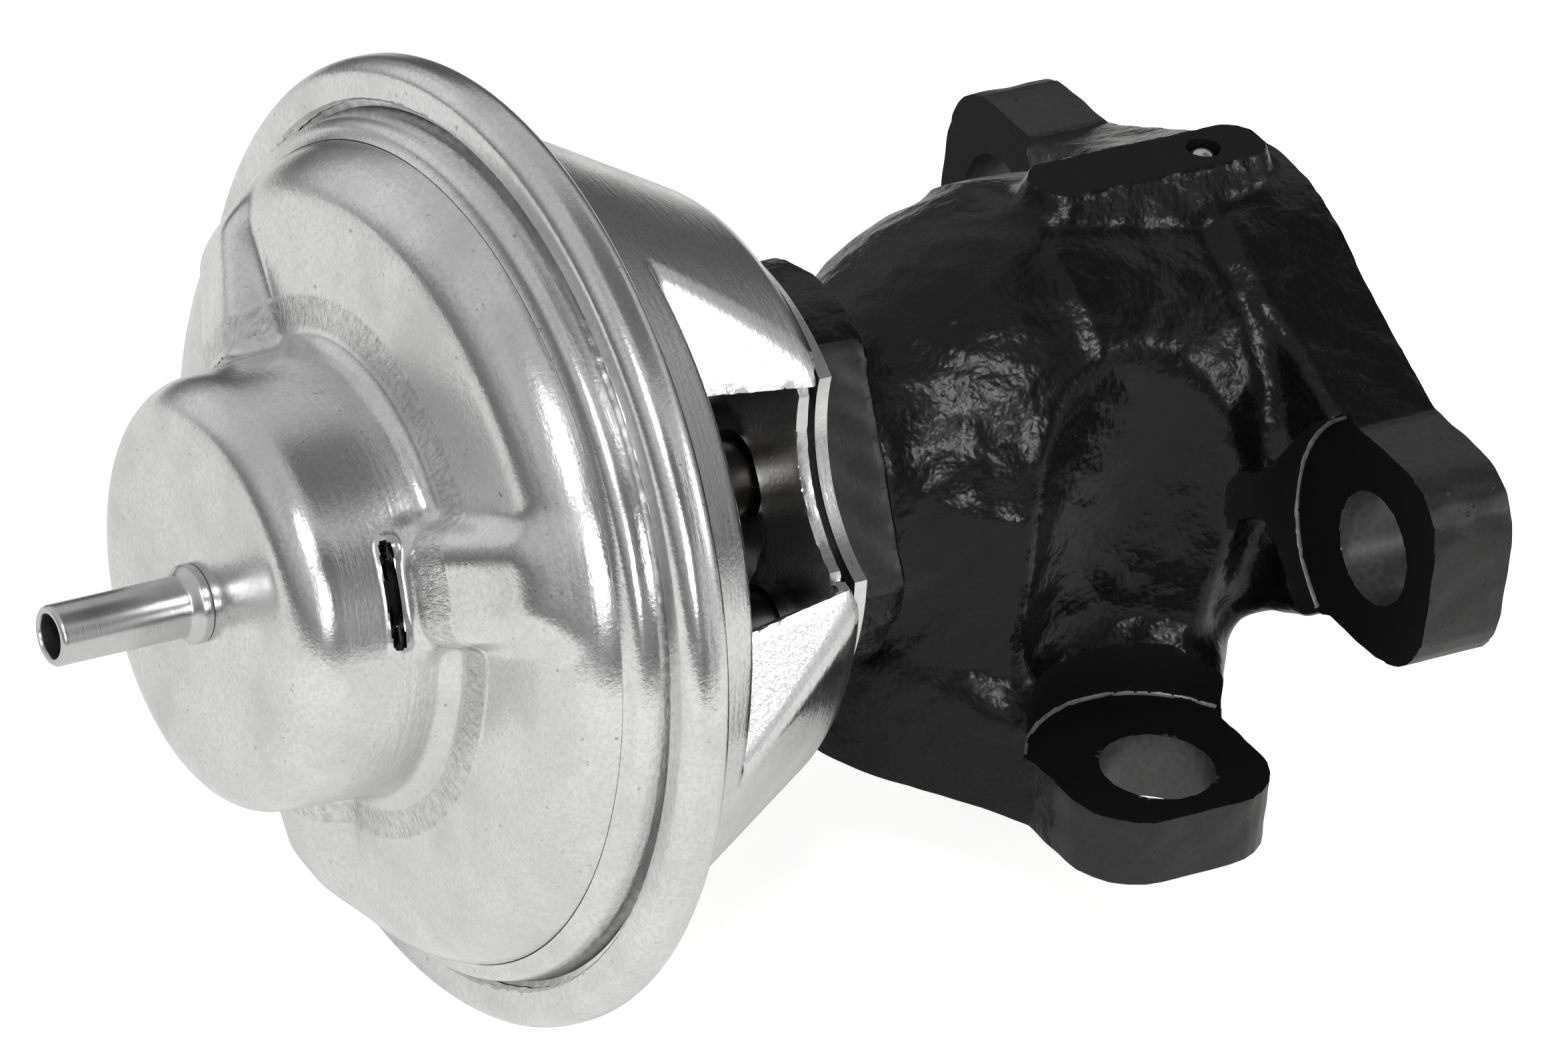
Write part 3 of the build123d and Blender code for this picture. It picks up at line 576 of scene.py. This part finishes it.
def castForm(x, y, z, size=housing):
    # the raw casting: sphere, barrel, necks, flanges and pad run together with fillets, minus the as-cast
    # hollows that clear a socket over each base bolt
    h = z - axisMm
    fromAxisX = np.hypot(y, h)  # distance from the valve axis
    fromAxisZ = np.hypot(x, y)  # distance from the base port's axis
    bulb = np.sqrt(x * x + (y * size["bulbNarrow"]) ** 2 + (h * size["bulbSquat"]) ** 2) - size["bulbRadius"]
    barrel = roundedMax(fromAxisZ - size["barrelRadius"], h - size["barrelTop"], size["barrelShoulder"])
    bulb = roundedMin(bulb, barrel, size["bulbFillet"])
    column = np.maximum(fromAxisZ - size["columnRadius"], h)
    rearNeck = np.maximum(fromAxisX - size["rearNeckRadius"], -x)
    frontNeck = np.maximum(fromAxisX - size["frontNeckRadius"], x)
    form = roundedMin(bulb, column, size["fillet"])
    form = roundedMin(form, rearNeck, size["fillet"])
    form = roundedMin(form, frontNeck, size["frontFillet"])
    # flanges as cast, rounded all over their outer edges
    baseSide, rearSide = flangeSides(x, y, z)
    base = roundedMax(baseSide, z - size["castHeight"], 2 * size["edgeRound"])
    form = roundedMin(form, base, size["flangeFillet"])
    rear = roundedMax(rearSide, size["rearFace"] - size["castHeight"] - x, 2 * size["edgeRound"])
    form = roundedMin(form, rear, size["flangeFillet"])
    # pad with a sloping skirt
    along = np.clip(x, size["padPlace"] - size["padHalf"], size["padPlace"] + size["padHalf"])
    skirt = size["skirtSlope"] * np.clip(size["padTop"] - z, 0, size["skirtHeight"])
    pad = np.hypot(x - along, y) - size["padRound"] - skirt
    form = roundedMin(form, np.maximum(pad, size["padFoot"] - z), size["padFillet"])
    # neck flange: a disc with three flats
    neck = np.maximum(fromAxisX - size["neckFlange"], x - size["neckBack"])
    for turn in flatTurns:
        neck = roundedMax(neck, outwards(y, h, turn) - size["neckFlat"], size["flatRound"])
    form = roundedMin(form, neck, size["neckFillet"])
    # hollows over the base bolts: their foot curls outwards to the edge of the spot face
    for fromBolt in fromBolts(x, y, h)[::2]:
        hollow = roundedMax(fromBolt - size["socketRelief"], size["reliefFoot"] - z, size["reliefCurl"])
        form = roundedMax(form, -hollow, size["reliefLip"])
    # uneven sand-cast skin: a product of three sines, each shifted by another coordinate
    skin = (np.sin(x * 1.1 + 1.3 * np.sin(y * 0.7)) * np.sin(y * 0.9 + z * 0.5)
            * np.sin(z * 1.2 + 0.8 * np.sin(x * 0.6)))
    return form - size["lumpHeight"] * skin


def machinedForm(x, y, z, size=housing):
    # what the cutters leave: positive where metal is taken away
    h = z - axisMm
    fromAxisX, fromAxisZ = np.hypot(y, h), np.hypot(x, y)
    form = np.maximum.reduce([-z, x - size["rearFace"], z - size["padTop"], size["neckFace"] - x])
    pasts = (size["baseEar"] - z, x - (size["rearFace"] - size["rearEar"]))
    for fromBolt, past in zip(fromBolts(x, y, h), pasts * 2):
        spot = np.maximum(fromBolt - size["spotFace"], past)
        form = np.maximum(form, -np.minimum(spot, fromBolt - size["boltHole"]))
    hollows = [np.maximum(fromAxisZ - size["gasPort"], z - size["portDepth"]),
               np.maximum(fromAxisZ - size["riser"], h)]
    for radius, start, end in size["bores"]:
        hollows.append(np.maximum(fromAxisX - radius, np.maximum(start - x, x - end)))
    for turn in size["screwTurns"]:
        hollows.append(np.maximum(fromScrewLine(y, h, turn) - size["screwHole"], x - size["screwHoleEnd"]))
    hollows.append(np.maximum(np.hypot(x - size["plugPlace"], y) - size["plugRadius"], size["plugFoot"] - z))
    return np.maximum(form, -np.minimum.reduce(hollows))


def housingField(x, y, z):
    return np.maximum(castForm(x, y, z), machinedForm(x, y, z))


def finishCasting(obj, size=housing):
    # cut faces and the flat sides of the flanges each get their own finish, told apart by the two forms; the
    # sides and the neck flats are lighter by painted sheen, the bolt bores by painted light
    x, y, z = faceCentres(obj.data)
    h = z - axisMm
    baseSide, rearSide = flangeSides(x, y, z)
    side = (np.abs(baseSide) < size["sideDepth"]) & (z < size["castHeight"] - size["edgeMargin"])
    side |= ((np.abs(rearSide) < size["sideDepth"])
             & (x > size["rearFace"] - size["castHeight"] + size["edgeMargin"]))
    side &= np.abs(y) > size["baseHole"] - size["earMargin"]
    flat = np.maximum.reduce([outwards(y, h, turn) - size["neckFlat"] for turn in flatTurns])
    side |= (np.abs(flat) < size["flatDepth"]) & (x < size["flatFrom"])
    bore = np.minimum.reduce([np.abs(fromBolt - size["boltHole"]) for fromBolt in fromBolts(x, y, h)])
    cut = machinedForm(x, y, z) > castForm(x, y, z) + size["cutDepth"]
    # 0 raw casting, 1 milled, 2 sides and neck flats with painted sheen, 3 bolt bores with painted light on
    # their walls
    finish = np.where(cut & (bore < size["boreDepth"]), 3, np.where(cut, 1, np.where(side, 2, 0)))
    sortFaces(obj.data, ("machined", "groundWithPaintedSheen", "bore"), finish)


castBody = fieldMesh("castBody", housingField, "cast", housing)
finishCasting(castBody)
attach(castBody, "housing")
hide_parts("valve_body")

cutterCorner = {
    "radius": 0.32,  # nose of the spot facing cutter
    "columns": 360, "rows": 7,
    "skirt": 0.15,  # how far it reaches into the casting, mm
    "clear": 0.02, "lift": 0.01,  # how far it stands off the wall and the floor
    "probeOut": 0.5, "probeUp": 0.9,  # where a wall is looked for
}


def cutterCornerSurface(centre, axis, depth, size=cutterCorner):
    # hollow quarter round along the foot of a spot face's wall: the cutter's nose carried round the bolt's
    # axis, and kept only where there is a wall, which is where the raw casting reaches past the cut
    angle = fullTurn(size["columns"])
    bend = np.linspace(0, np.pi / 2, size["rows"])
    nose, wall = size["radius"], housing["spotFace"]
    out = wall + size["clear"] - nose + nose * np.sin(bend)
    lift = nose - nose * np.cos(bend) + size["lift"]
    out = np.concatenate([out, [wall + size["skirt"], wall - nose]])
    lift = np.concatenate([lift, [-size["skirt"], -size["skirt"]]])

    def place(radius, height):
        a, b = radius * np.cos(angle), radius * np.sin(angle)
        if axis == "z":
            return np.stack([centre[0] + a, centre[1] + b, depth + height + 0 * a], axis=-1)
        return np.stack([depth - height + 0 * a, centre[1] + a, centre[2] + b], axis=-1)

    probe = place(wall + size["probeOut"], size["probeUp"])
    walled = castForm(*probe.T) < -0.1
    first = int(np.argmax(walled & ~np.roll(walled, 1)))
    kept = (np.arange(int(walled.sum())) + first) % size["columns"]
    return np.stack([place(o, l)[kept] for o, l in zip(out, lift)], axis=1)


cutterCorners = []
for turn, side in ((-1, "Right"), (1, "Left")):
    cutterCorners += [
        ("baseCutterCorner" + side, (0, turn * housing["baseHole"], 0), "z", housing["baseEar"]),
        ("rearCutterCorner" + side, (0, turn * housing["rearHole"], axisMm), "x",
         housing["rearFace"] - housing["rearEar"]),
    ]
# rounded foot of each spot face's wall; its pale finish is a painted highlight
for name, centre, axis, depth in cutterCorners:
    piece = gridMesh(name, cutterCornerSurface(centre, axis, depth), "cutCornerPaintedHighlight", closed=False)
    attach(piece, "housing")

# cover of the can

coverShape = {
    "cupDepth": 23.0, "cupRadius": 16.5, "cupCorner": 3.6, "cupFoot": 1.6,
    "cupBase": (-10.6, 17.2), "domeEdge": (-8.6, 31.4), "domeCorner": 5.5,
    "domeFoot": (-4.7, 31.8), "footRound": 0.5, "shoulder": (-4.3, 33.2), "shoulderRound": 1.0,
    "flange": (-1.4, 33.7), "flangeCorner": 0.5, "edge": 36.2,
    "nippleHole": 2.37,
    "ribAngles": (153, 273, 33), "ribHalf": 4.7, "ribRise": -14.6, "ribEnd": -9.7, "ribReach": 29.6,
    "ribRound": 1.6, "ribTip": 2.4, "ribFillet": 1.3, "ribStart": 8.0,
    "creaseHalf": 3.5, "creaseWidth": 0.42, "creaseLip": 0.85,  # folded slot where a rib runs into the cup
    "creaseFoot": (-14.75, 16.17), "creaseRun": (-0.554, 0.833), "creaseTaper": 1.15,
    "creaseRing": 0.45, "creaseDepth": 6.0, "lipFillet": 0.5, "creaseRound": 0.2,
    "slotFrom": 15.7, "slotTo": 16.95, "slotMargin": 0.02,  # faces that get the painted shade of the slots
    "columns": 440, "pointStep": 0.42, "insideStep": 1.5, "thickness": 1.0,
    "finerFrom": -16.8, "finerTo": -12.4,  # more points where the ribs meet the cup
    "hub": -4.0, "pressedTo": -5.2, "flatFace": -22.9,
    "nearest": 0.88, "farthest": 1.6, "halvings": 16,  # search along each ray, as shares of it
}


def creaseDistance(distance, outward, aside, length, size=coverShape):
    # distance to a short line out of the corner between cup and rib, drawn out sideways into a flat slot
    (s0, r0), (runS, runR) = size["creaseFoot"], size["creaseRun"]
    a, b = distance - s0, outward - r0
    along = np.clip(a * runS + b * runR, 0, length)
    away = np.hypot(a - along * runS, b - along * runR)
    return np.hypot(away, np.maximum(aside - size["creaseHalf"], 0) * size["creaseTaper"])


def besideRib(radius, angle, turn):
    # how far points lie sideways from a rib's middle, and how far out along it
    a = angle - math.radians(turn)
    return np.abs(radius * np.sin(a)), radius * np.cos(a)


def pressedForm(distance, radius, angle, outline, size=coverShape):
    # the smooth union of the turned dome, the ribs and the rolled lips of their creases, less the creases
    slope = math.atan2(size["ribEnd"] - size["ribRise"], size["ribReach"] - size["cupRadius"])
    ribs, lips, creases = (np.full(distance.shape, 1e3) for _ in range(3))
    for turn in size["ribAngles"]:
        aside, outward = besideRib(radius, angle, turn)
        top = (-math.cos(slope) * (distance - size["ribRise"])
               + math.sin(slope) * (outward - size["cupRadius"]))
        rib = roundedMax(aside - size["ribHalf"], top, size["ribRound"] * 2)
        rib = roundedMax(rib, outward - size["ribReach"], size["ribTip"])
        lip = creaseDistance(distance, outward, aside, size["creaseRing"]) - size["creaseLip"]
        cut = creaseDistance(distance, outward, aside, size["creaseDepth"]) - size["creaseWidth"]
        for group, one in ((ribs, rib), (lips, lip), (creases, cut)):
            np.minimum(group, np.maximum(one, size["ribStart"] - outward), out=group)
    pressed = roundedMin(polygonDistance(distance, radius, outline), ribs, size["ribFillet"])
    pressed = roundedMin(pressed, lips, size["lipFillet"])
    return roundedMax(pressed, -creases, size["creaseRound"])


def coverSurface(size=coverShape):
    # a profile turned round the valve axis: cup, dome, shoulder and flange. The pressed ribs move its points
    # along rays from a hub on the axis, to where a ray leaves the pressed form, found by halving. The inside
    # is the same profile one sheet deeper.
    depth, edge, hub = size["cupDepth"], size["edge"], size["hub"]
    corners = [(-depth, size["nippleHole"]), (-depth, size["cupRadius"]), size["cupBase"], size["domeEdge"],
               size["domeFoot"], size["shoulder"], size["flange"], (size["flange"][0], edge)]
    radii = [size["cupCorner"], size["cupFoot"], size["domeCorner"], size["footRound"],
             size["shoulderRound"], size["flangeCorner"]]
    profile = evenSpacing(roundCorners(corners, radii), size["pointStep"])
    between = (profile[1:] + profile[:-1]) / 2
    finer = np.flatnonzero((between[:, 0] > size["finerFrom"]) & (between[:, 0] < size["finerTo"])) + 1
    third = (profile[1:] - profile[:-1])[finer - 1] / 6
    added = np.stack([between[finer - 1] - third, between[finer - 1] + third], axis=1).reshape(-1, 2)
    profile = np.insert(profile, np.repeat(finer, 2), added, axis=0)
    last = int(np.argmax(profile[:, 0] > size["pressedTo"]))
    outline = np.concatenate([profile, [(-hub, edge), (-hub, 0.0), (-depth, 0.0)]])
    angle = fullTurn(size["columns"])
    away, radius = profile[:last, :1] - hub + 0 * angle, profile[:last, 1:] + 0 * angle
    low, high = np.full(away.shape, size["nearest"]), np.full(away.shape, size["farthest"])
    for _ in range(size["halvings"]):
        middle = (low + high) / 2
        inside = pressedForm(hub + away * middle, radius * middle, angle, outline) < 0
        low, high = np.where(inside, middle, low), np.where(inside, high, middle)
    share = np.where(profile[:last, :1] < size["flatFace"], 1.0, (low + high) / 2)
    front = aroundAxis(hub + away * share, radius * share, angle)
    # inside, one sheet deeper
    coarse = evenSpacing(roundCorners(corners, radii), size["insideStep"])
    inner = (coarse + squareTo(coarse, size["thickness"]))[::-1]
    inner[0, 1], inner[-1, 1] = edge, size["nippleHole"]
    return np.concatenate([front, turnProfile(profile[last:], angle), turnProfile(inner, angle)])[::-1]


def paintShadeInCreases(obj, size=coverShape):
    # the walls of the folded slots get dark steel as painted shade
    x, y, z = faceCentres(obj.data)
    radius, angle = np.hypot(y, z - axisMm), np.arctan2(z - axisMm, y)
    inSlot = np.zeros(x.shape, bool)
    for turn in size["ribAngles"]:
        aside, outward = besideRib(radius, angle, turn)
        away = creaseDistance(x + rimPlaneMm, outward, aside, size["creaseDepth"])
        inSlot |= ((away < size["creaseWidth"] + size["slotMargin"])
                   & (outward > size["slotFrom"]) & (outward < size["slotTo"]))
    sortFaces(obj.data, ["creasePaintedShade"], inSlot)


coverSkin = gridMesh("coverSkin", coverSurface(), "drawnZinc")
paintShadeInCreases(coverSkin)
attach(coverSkin, "housing")
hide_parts("cover")

nippleShape = {
    "tip": -35.4, "outer": 2.35, "bore": 1.7, "tipRound": 0.35,
    "bead": 3.05, "beadTop": -24.0, "beadFoot": -23.02, "end": -21.6,
    "seam": -29.0,  # where the closed profile starts, inside the bore
    "columns": 72, "pointStep": 0.16,
}


def nippleSurface(size=nippleShape):
    # closed profile turned round the valve axis: bore, rounded tip, straight tube, and the beaded foot
    tip, outer, bore, bead = size["tip"], size["outer"], size["bore"], size["bead"]
    corners = [(size["seam"], bore), (tip, bore), (tip, outer), (size["beadTop"] - 0.5, outer),
               (size["beadTop"] + 0.2, bead), (size["beadFoot"], bead), (size["beadFoot"], outer),
               (size["end"], outer), (size["end"], bore), (size["seam"], bore)]
    line = roundCorners(corners, [0.2, size["tipRound"], 0.5, 0.4, 0.12, 0.05, 0.3, 0.2], 6)
    return turnProfile(evenSpacing(line, size["pointStep"])[:-1], fullTurn(size["columns"]))[::-1]


nippleTube = gridMesh("nippleTube", nippleSurface(), "brightSteel")
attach(nippleTube, "housing")
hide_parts("vacuum_nipple")

# lower half of the can

canShape = {
    "gridStep": 0.4, "gridLow": (-49.0, -35, -11.7), "gridHigh": (-26.8, 35, 58.3),
    "mouth": (1.4, 33.9), "end": (22.1, 22.7), "thickness": 1.0, "bendRound": 1.2,
    "edgeFrom": 0.45,  # where the sheet starts behind the rim plane
    "flatStart": (7.1, 23.9), "flatEnd": (22.1, 21.3), "flatRound": 0.7,
    "windowStart": 8.4, "windowHalf": (9.2, 7.5), "windowRound": 0.9,
    "windowFoot": 1.9,  # how far the window stays outside the notch
    "notchRadius": 12.8, "notchDistance": 15.4, "notchFrom": 20.5,
    "centreHole": 8.9, "centreFrom": 15, "screwHole": 2.3, "screwFrom": 20,
}


def canSolid(s, r, y, h, inset, size=canShape):
    # solid inside the pressed skin: a cone, its floor and three flats with a step at their start
    (s0, r0), (s1, r1) = size["mouth"], size["end"]
    (f0, d0), (f1, d1) = size["flatStart"], size["flatEnd"]
    slope, fall = (r0 - r1) / (s1 - s0), (d0 - d1) / (f1 - f0)
    cone = (r - r1 - slope * (s1 - s)) / math.hypot(1, slope) + inset
    body = roundedMax(cone, s - s1 + inset, 2 * (size["bendRound"] - 0.5 * inset))
    for turn in flatTurns:
        flat = (outwards(y, h, turn) - d0 + fall * (s - f0)) / math.hypot(1, fall) + inset
        step = f0 - s - inset
        body = roundedMax(body, roundedMin(flat, -step, size["flatRound"]), size["flatRound"])
    return body


def canField(x, y, z, size=canShape):
    # the skin between two such solids, one sheet apart, less windows, notches and holes
    s, h = x + rimPlaneMm, z - axisMm
    r = np.hypot(y, h)
    skin = np.maximum(canSolid(s, r, y, h, 0.0), -canSolid(s, r, y, h, size["thickness"]))
    skin = np.maximum(skin, size["edgeFrom"] - s)
    (w0, w1), start = size["windowHalf"], size["windowStart"]
    narrow = (w0 - w1) / (size["end"][0] - start)
    holes = np.maximum(r - size["centreHole"], size["centreFrom"] - s)
    for turn in flatTurns:  # a window and a notch in each flat, and a screw hole between two of them
        out, aside = outwards(y, h, turn), np.abs(outwards(y, h, turn + 90))
        window = roundedMax(aside - w0 + narrow * (s - start), start - s, 2 * size["windowRound"])
        window = np.maximum(window, size["notchDistance"] + size["windowFoot"] - out)
        notch = np.hypot(out - size["notchDistance"] - size["notchRadius"], aside) - size["notchRadius"]
        notch = np.maximum(notch, size["notchFrom"] - s)
        screw = np.maximum(fromScrewLine(y, h, turn + 60) - size["screwHole"], size["screwFrom"] - s)
        holes = np.minimum.reduce([holes, window, notch, screw])
    return np.maximum(skin, -holes)


canBody = fieldMesh("canBody", canField, "zinc", canShape)
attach(canBody, "housing")
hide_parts("lower_case")

rimShape = {
    "outer": 37.488, "bead": 1.35, "lip": 34.3, "lipFront": -2.4, "sheet": 1.0,
    "inner": 33.2, "flangeFrom": 0.45, "flangeTo": 1.4,
    "roughLip": 0.05,  # sheared edge of the fold, mm
    "roughReach": 0.5, "roughTo": -0.6,
    "columns": 600, "pointStep": 0.25,
}


def rimSurface(size=rimShape):
    # closed profile carried round the axis: flange, rolled outer fold and the lip over the cover's edge,
    # whose inner edge wanders as a sum of sines of the angle, because the fold is sheared and spun
    outer, lip, front, wall = size["outer"], size["lip"], size["lipFront"], size["sheet"]
    inner, start, end = size["inner"], size["flangeFrom"], size["flangeTo"]
    corners = [(start, inner), (end, inner), (end, outer), (front, outer), (front, lip), (front + wall, lip),
               (front + wall, outer - wall), (start, outer - wall), (start, inner)]
    line = roundCorners(corners, [0.1, size["bead"], size["bead"] + 0.2, 0.25, 0.15, 0.4, 0.4])
    line = evenSpacing(line, size["pointStep"])[:-1]
    angle = fullTurn(size["columns"])
    s, r = line[:, :1] + 0 * angle, line[:, 1:] + 0 * angle
    wander = np.sin(7 * angle + 1.0) * 0.35 + np.sin(19 * angle) * 0.25 + np.sin(53 * angle + 2.0) * 0.3
    jag = np.sin(131 * angle + 3 * np.sin(11 * angle)) * 0.5
    reach = size["roughReach"]
    near = np.clip((lip + reach - r) / reach, 0, 1) * (s < size["roughTo"])
    return aroundAxis(s, r + near * size["roughLip"] * (wander + jag), angle)


canRim = gridMesh("canRim", rimSurface(), "zinc")
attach(canRim, "housing")
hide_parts("lower_case")

# return spring and diaphragm, the spring attached to the housing

springShape = {
    "start": -71.15, "end": -48.15, "wire": 2.2, "radius": 12.2, "turns": 5.5,
    "closedTurn": 0.8,  # coil laid flat at each end
    "closedPitch": 0.12,  # share of the pitch that the end coils keep
    "stepsPerTurn": 72, "columns": 16,
}


def springSurface(size=springShape):
    # round wire carried along a helix about the valve axis whose pitch eases off in the end coils
    turn = np.linspace(0, size["turns"], int(size["turns"] * size["stepsPerTurn"]))
    rise = np.clip(np.minimum(turn, size["turns"] - turn) / size["closedTurn"], size["closedPitch"], 1)
    travel = np.concatenate([[0], np.cumsum((rise[1:] + rise[:-1]) / 2)])
    run = size["end"] - size["start"] - size["wire"]
    x = size["start"] + size["wire"] / 2 + run * travel / travel[-1]
    a = 2 * np.pi * turn
    path = np.stack([x, size["radius"] * np.cos(a), axisMm + size["radius"] * np.sin(a)], axis=1)
    along = np.gradient(path, axis=0)
    along /= np.linalg.norm(along, axis=1, keepdims=True)
    out = np.stack([0 * a, np.cos(a), np.sin(a)], axis=1)
    side = np.cross(along, out)
    b = fullTurn(size["columns"])
    ring = out[:, None, :] * np.cos(b)[None, :, None] + side[:, None, :] * np.sin(b)[None, :, None]
    return (path[:, None, :] + ring * size["wire"] / 2)[::-1]


springWire = gridMesh("springWire", springSurface(), "springWire", closed=False)
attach(springWire, "housing")
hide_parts("return_spring")
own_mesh(springWire)

diaphragmShape = {
    "line": [(0.0, 36.05), (0.0, 31.5), (4.38, 29.0), (4.38, 27.0), (2.5, 24.9), (2.5, 2.85)],
    "rounds": [1.4, 1.7, 1.7, 1.4], "thickness": 0.74,
    "columns": 240, "pointStep": 0.45,
}


def diaphragmSurface(size=diaphragmShape):
    # a sheet of even thickness turned round the valve axis: flat edge, one rolled convolution, flat middle
    line = evenSpacing(roundCorners(size["line"], size["rounds"]), size["pointStep"])
    across = squareTo(line, size["thickness"] / 2)
    return turnProfile(np.concatenate([line + across, (line - across)[::-1]]), fullTurn(size["columns"]))


rollingDiaphragm = gridMesh("rollingDiaphragm", diaphragmSurface(), "diaphragmRubber")
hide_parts("diaphragm")
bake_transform(rollingDiaphragm)

# studio

studio = {
    "floorColour": "#f4f4f2", "floorHalf": 0.32, "floorGap": 0.0002,
    "floorGlow": 0.70,  # what the floor's own white adds for the camera
    "floorMirror": 0.24, "worldMirror": 0.06,  # shares of that white in metal and glass
    "tent": 0.60,  # general level of the light tent
    "tentFoot": 0.08, "tentFrom": -0.15, "tentTo": 0.55,  # level low down, and the heights between the two
    "panels": (  # direction, where the panel starts and is full, and its level
        ((0.66, 0.74, -0.05), 0.72, 0.97, 0.04),
        ((0.46, 0.66, 0.60), 0.93, 0.99, 0.55),
        ((0.45, -0.05, 0.89), 0.86, 0.97, 0.12),
        ((0.74, -0.64, 0.20), 0.84, 0.95, 0.68),
        ((-0.48, -0.26, 0.84), 0.90, 0.97, 0.45),
        ((0.10, -0.84, 0.53), 0.90, 0.975, 0.07),
        ((-0.45, 0.85, 0.25), 0.88, 0.97, 0.75),
    ),
    "lampSize": 0.19, "aim": (-0.02, 0, 0.02),
    "lamps": (  # name, place and power
        ("keyLamp", (-0.41, -0.47, 0.70), 2.1),
        ("fillLamp", (0.70, -0.60, 0.42), 1.32),
        ("frontLamp", (-0.30, -0.84, 0.36), 2.2),
    ),
}


def whiteRays(tree):
    # camera rays, and the rays that metal and glass send out
    ray = addNode(tree, "ShaderNodeLightPath", {}).outputs
    return ray["Is Camera Ray"], calculate("MAXIMUM", ray["Is Glossy Ray"], ray["Is Transmission Ray"])


def makeFloor(values=studio):
    # pale floor just under the part, with its own white; nothing of it shows from below
    half, height = values["floorHalf"], cadBox[0].z - values["floorGap"]
    mesh = bpy.data.meshes.new("floor")
    mesh.from_pydata([(-half, -half, height), (half, -half, height), (half, half, height),
                      (-half, half, height)], [], [(0, 1, 2, 3)])
    floor = addObject("floor", mesh)
    material = bpy.data.materials.new("paleFloor")
    tree = emptyTree(material)
    seen, mirrored = whiteRays(tree)
    mirrored = calculate("MULTIPLY", mirrored, values["floorMirror"])
    glow = calculate("MULTIPLY_ADD", seen, values["floorGlow"], mirrored)
    shader = addNode(tree, "ShaderNodeBsdfPrincipled", {
        "Base Color": toLinear(values["floorColour"]), "Roughness": 0.9, "Specular IOR Level": 0.0,
        "Emission Color": (1, 1, 1, 1), "Emission Strength": glow})
    below = addNode(tree, "ShaderNodeNewGeometry", {}).outputs["Backfacing"]
    clear = addNode(tree, "ShaderNodeBsdfTransparent", {})
    mix = addNode(tree, "ShaderNodeMixShader", {0: below, 1: shader.outputs[0], 2: clear.outputs[0]})
    addNode(tree, "ShaderNodeOutputMaterial", {"Surface": mix.outputs[0]})
    useMaterial(floor, material)


def makeTent(values=studio):
    # the world: a light tent whose level rises with height, with paler and darker panels round directions
    world = bpy.data.worlds.new("studio")
    bpy.context.scene.world = world
    tree = emptyTree(world)
    view = addNode(tree, "ShaderNodeTexCoord", {}).outputs["Generated"]
    height = addNode(tree, "ShaderNodeSeparateXYZ", {0: view}).outputs["Z"]
    level = remap(height, values["tentFrom"], values["tentTo"], values["tentFoot"], values["tent"],
                  "SMOOTHSTEP")
    for direction, start, full, strength in values["panels"]:
        facing = addNode(tree, "ShaderNodeVectorMath", {"operation": "DOT_PRODUCT", 0: view, 1: direction})
        share = remap(facing.outputs["Value"], start, full, curve="SMOOTHSTEP")
        level = addNode(tree, "ShaderNodeMix", {0: share, 2: level, 3: strength}).outputs[0]
    seen, mirrored = whiteRays(tree)
    white = calculate("MULTIPLY_ADD", mirrored, values["worldMirror"], seen)
    level = addNode(tree, "ShaderNodeMix", {0: white, 2: level, 3: 1.0}).outputs[0]
    background = addNode(tree, "ShaderNodeBackground", {"Color": (1, 1, 1, 1), "Strength": level})
    addNode(tree, "ShaderNodeOutputWorld", {"Surface": background.outputs[0]})


def makeLamps(values=studio):
    for name, place, power in values["lamps"]:
        lamp = bpy.data.lights.new(name, "AREA")
        lamp.size = values["lampSize"]
        lamp.energy = power
        turn = (Vector(values["aim"]) - Vector(place)).to_track_quat("-Z", "Y")
        addObject(name, lamp).matrix_world = Matrix.Translation(place) @ turn.to_matrix().to_4x4()


makeFloor()
makeTent()
makeLamps()

cameraPlace = {
    "at": (-0.43664, -0.60444, 0.46886),
    "rows": ((0.8521989, 0.19984491, -0.4835484), (-0.51387519, 0.4935568, -0.70166514),
             (0.09843439, 0.84644179, 0.5233039)),
    "lens": 256.5, "sensor": 36.0, "near": 0.01,
}


def makeCamera(values=cameraPlace):
    data = bpy.data.cameras.new("camera")
    data.lens = values["lens"]
    data.sensor_width = values["sensor"]
    data.clip_start = values["near"]
    camera = addObject("camera", data)
    camera.matrix_world = Matrix.Translation(values["at"]) @ Matrix(values["rows"]).to_4x4()
    bpy.context.scene.camera = camera


makeCamera()
print("studio ready")
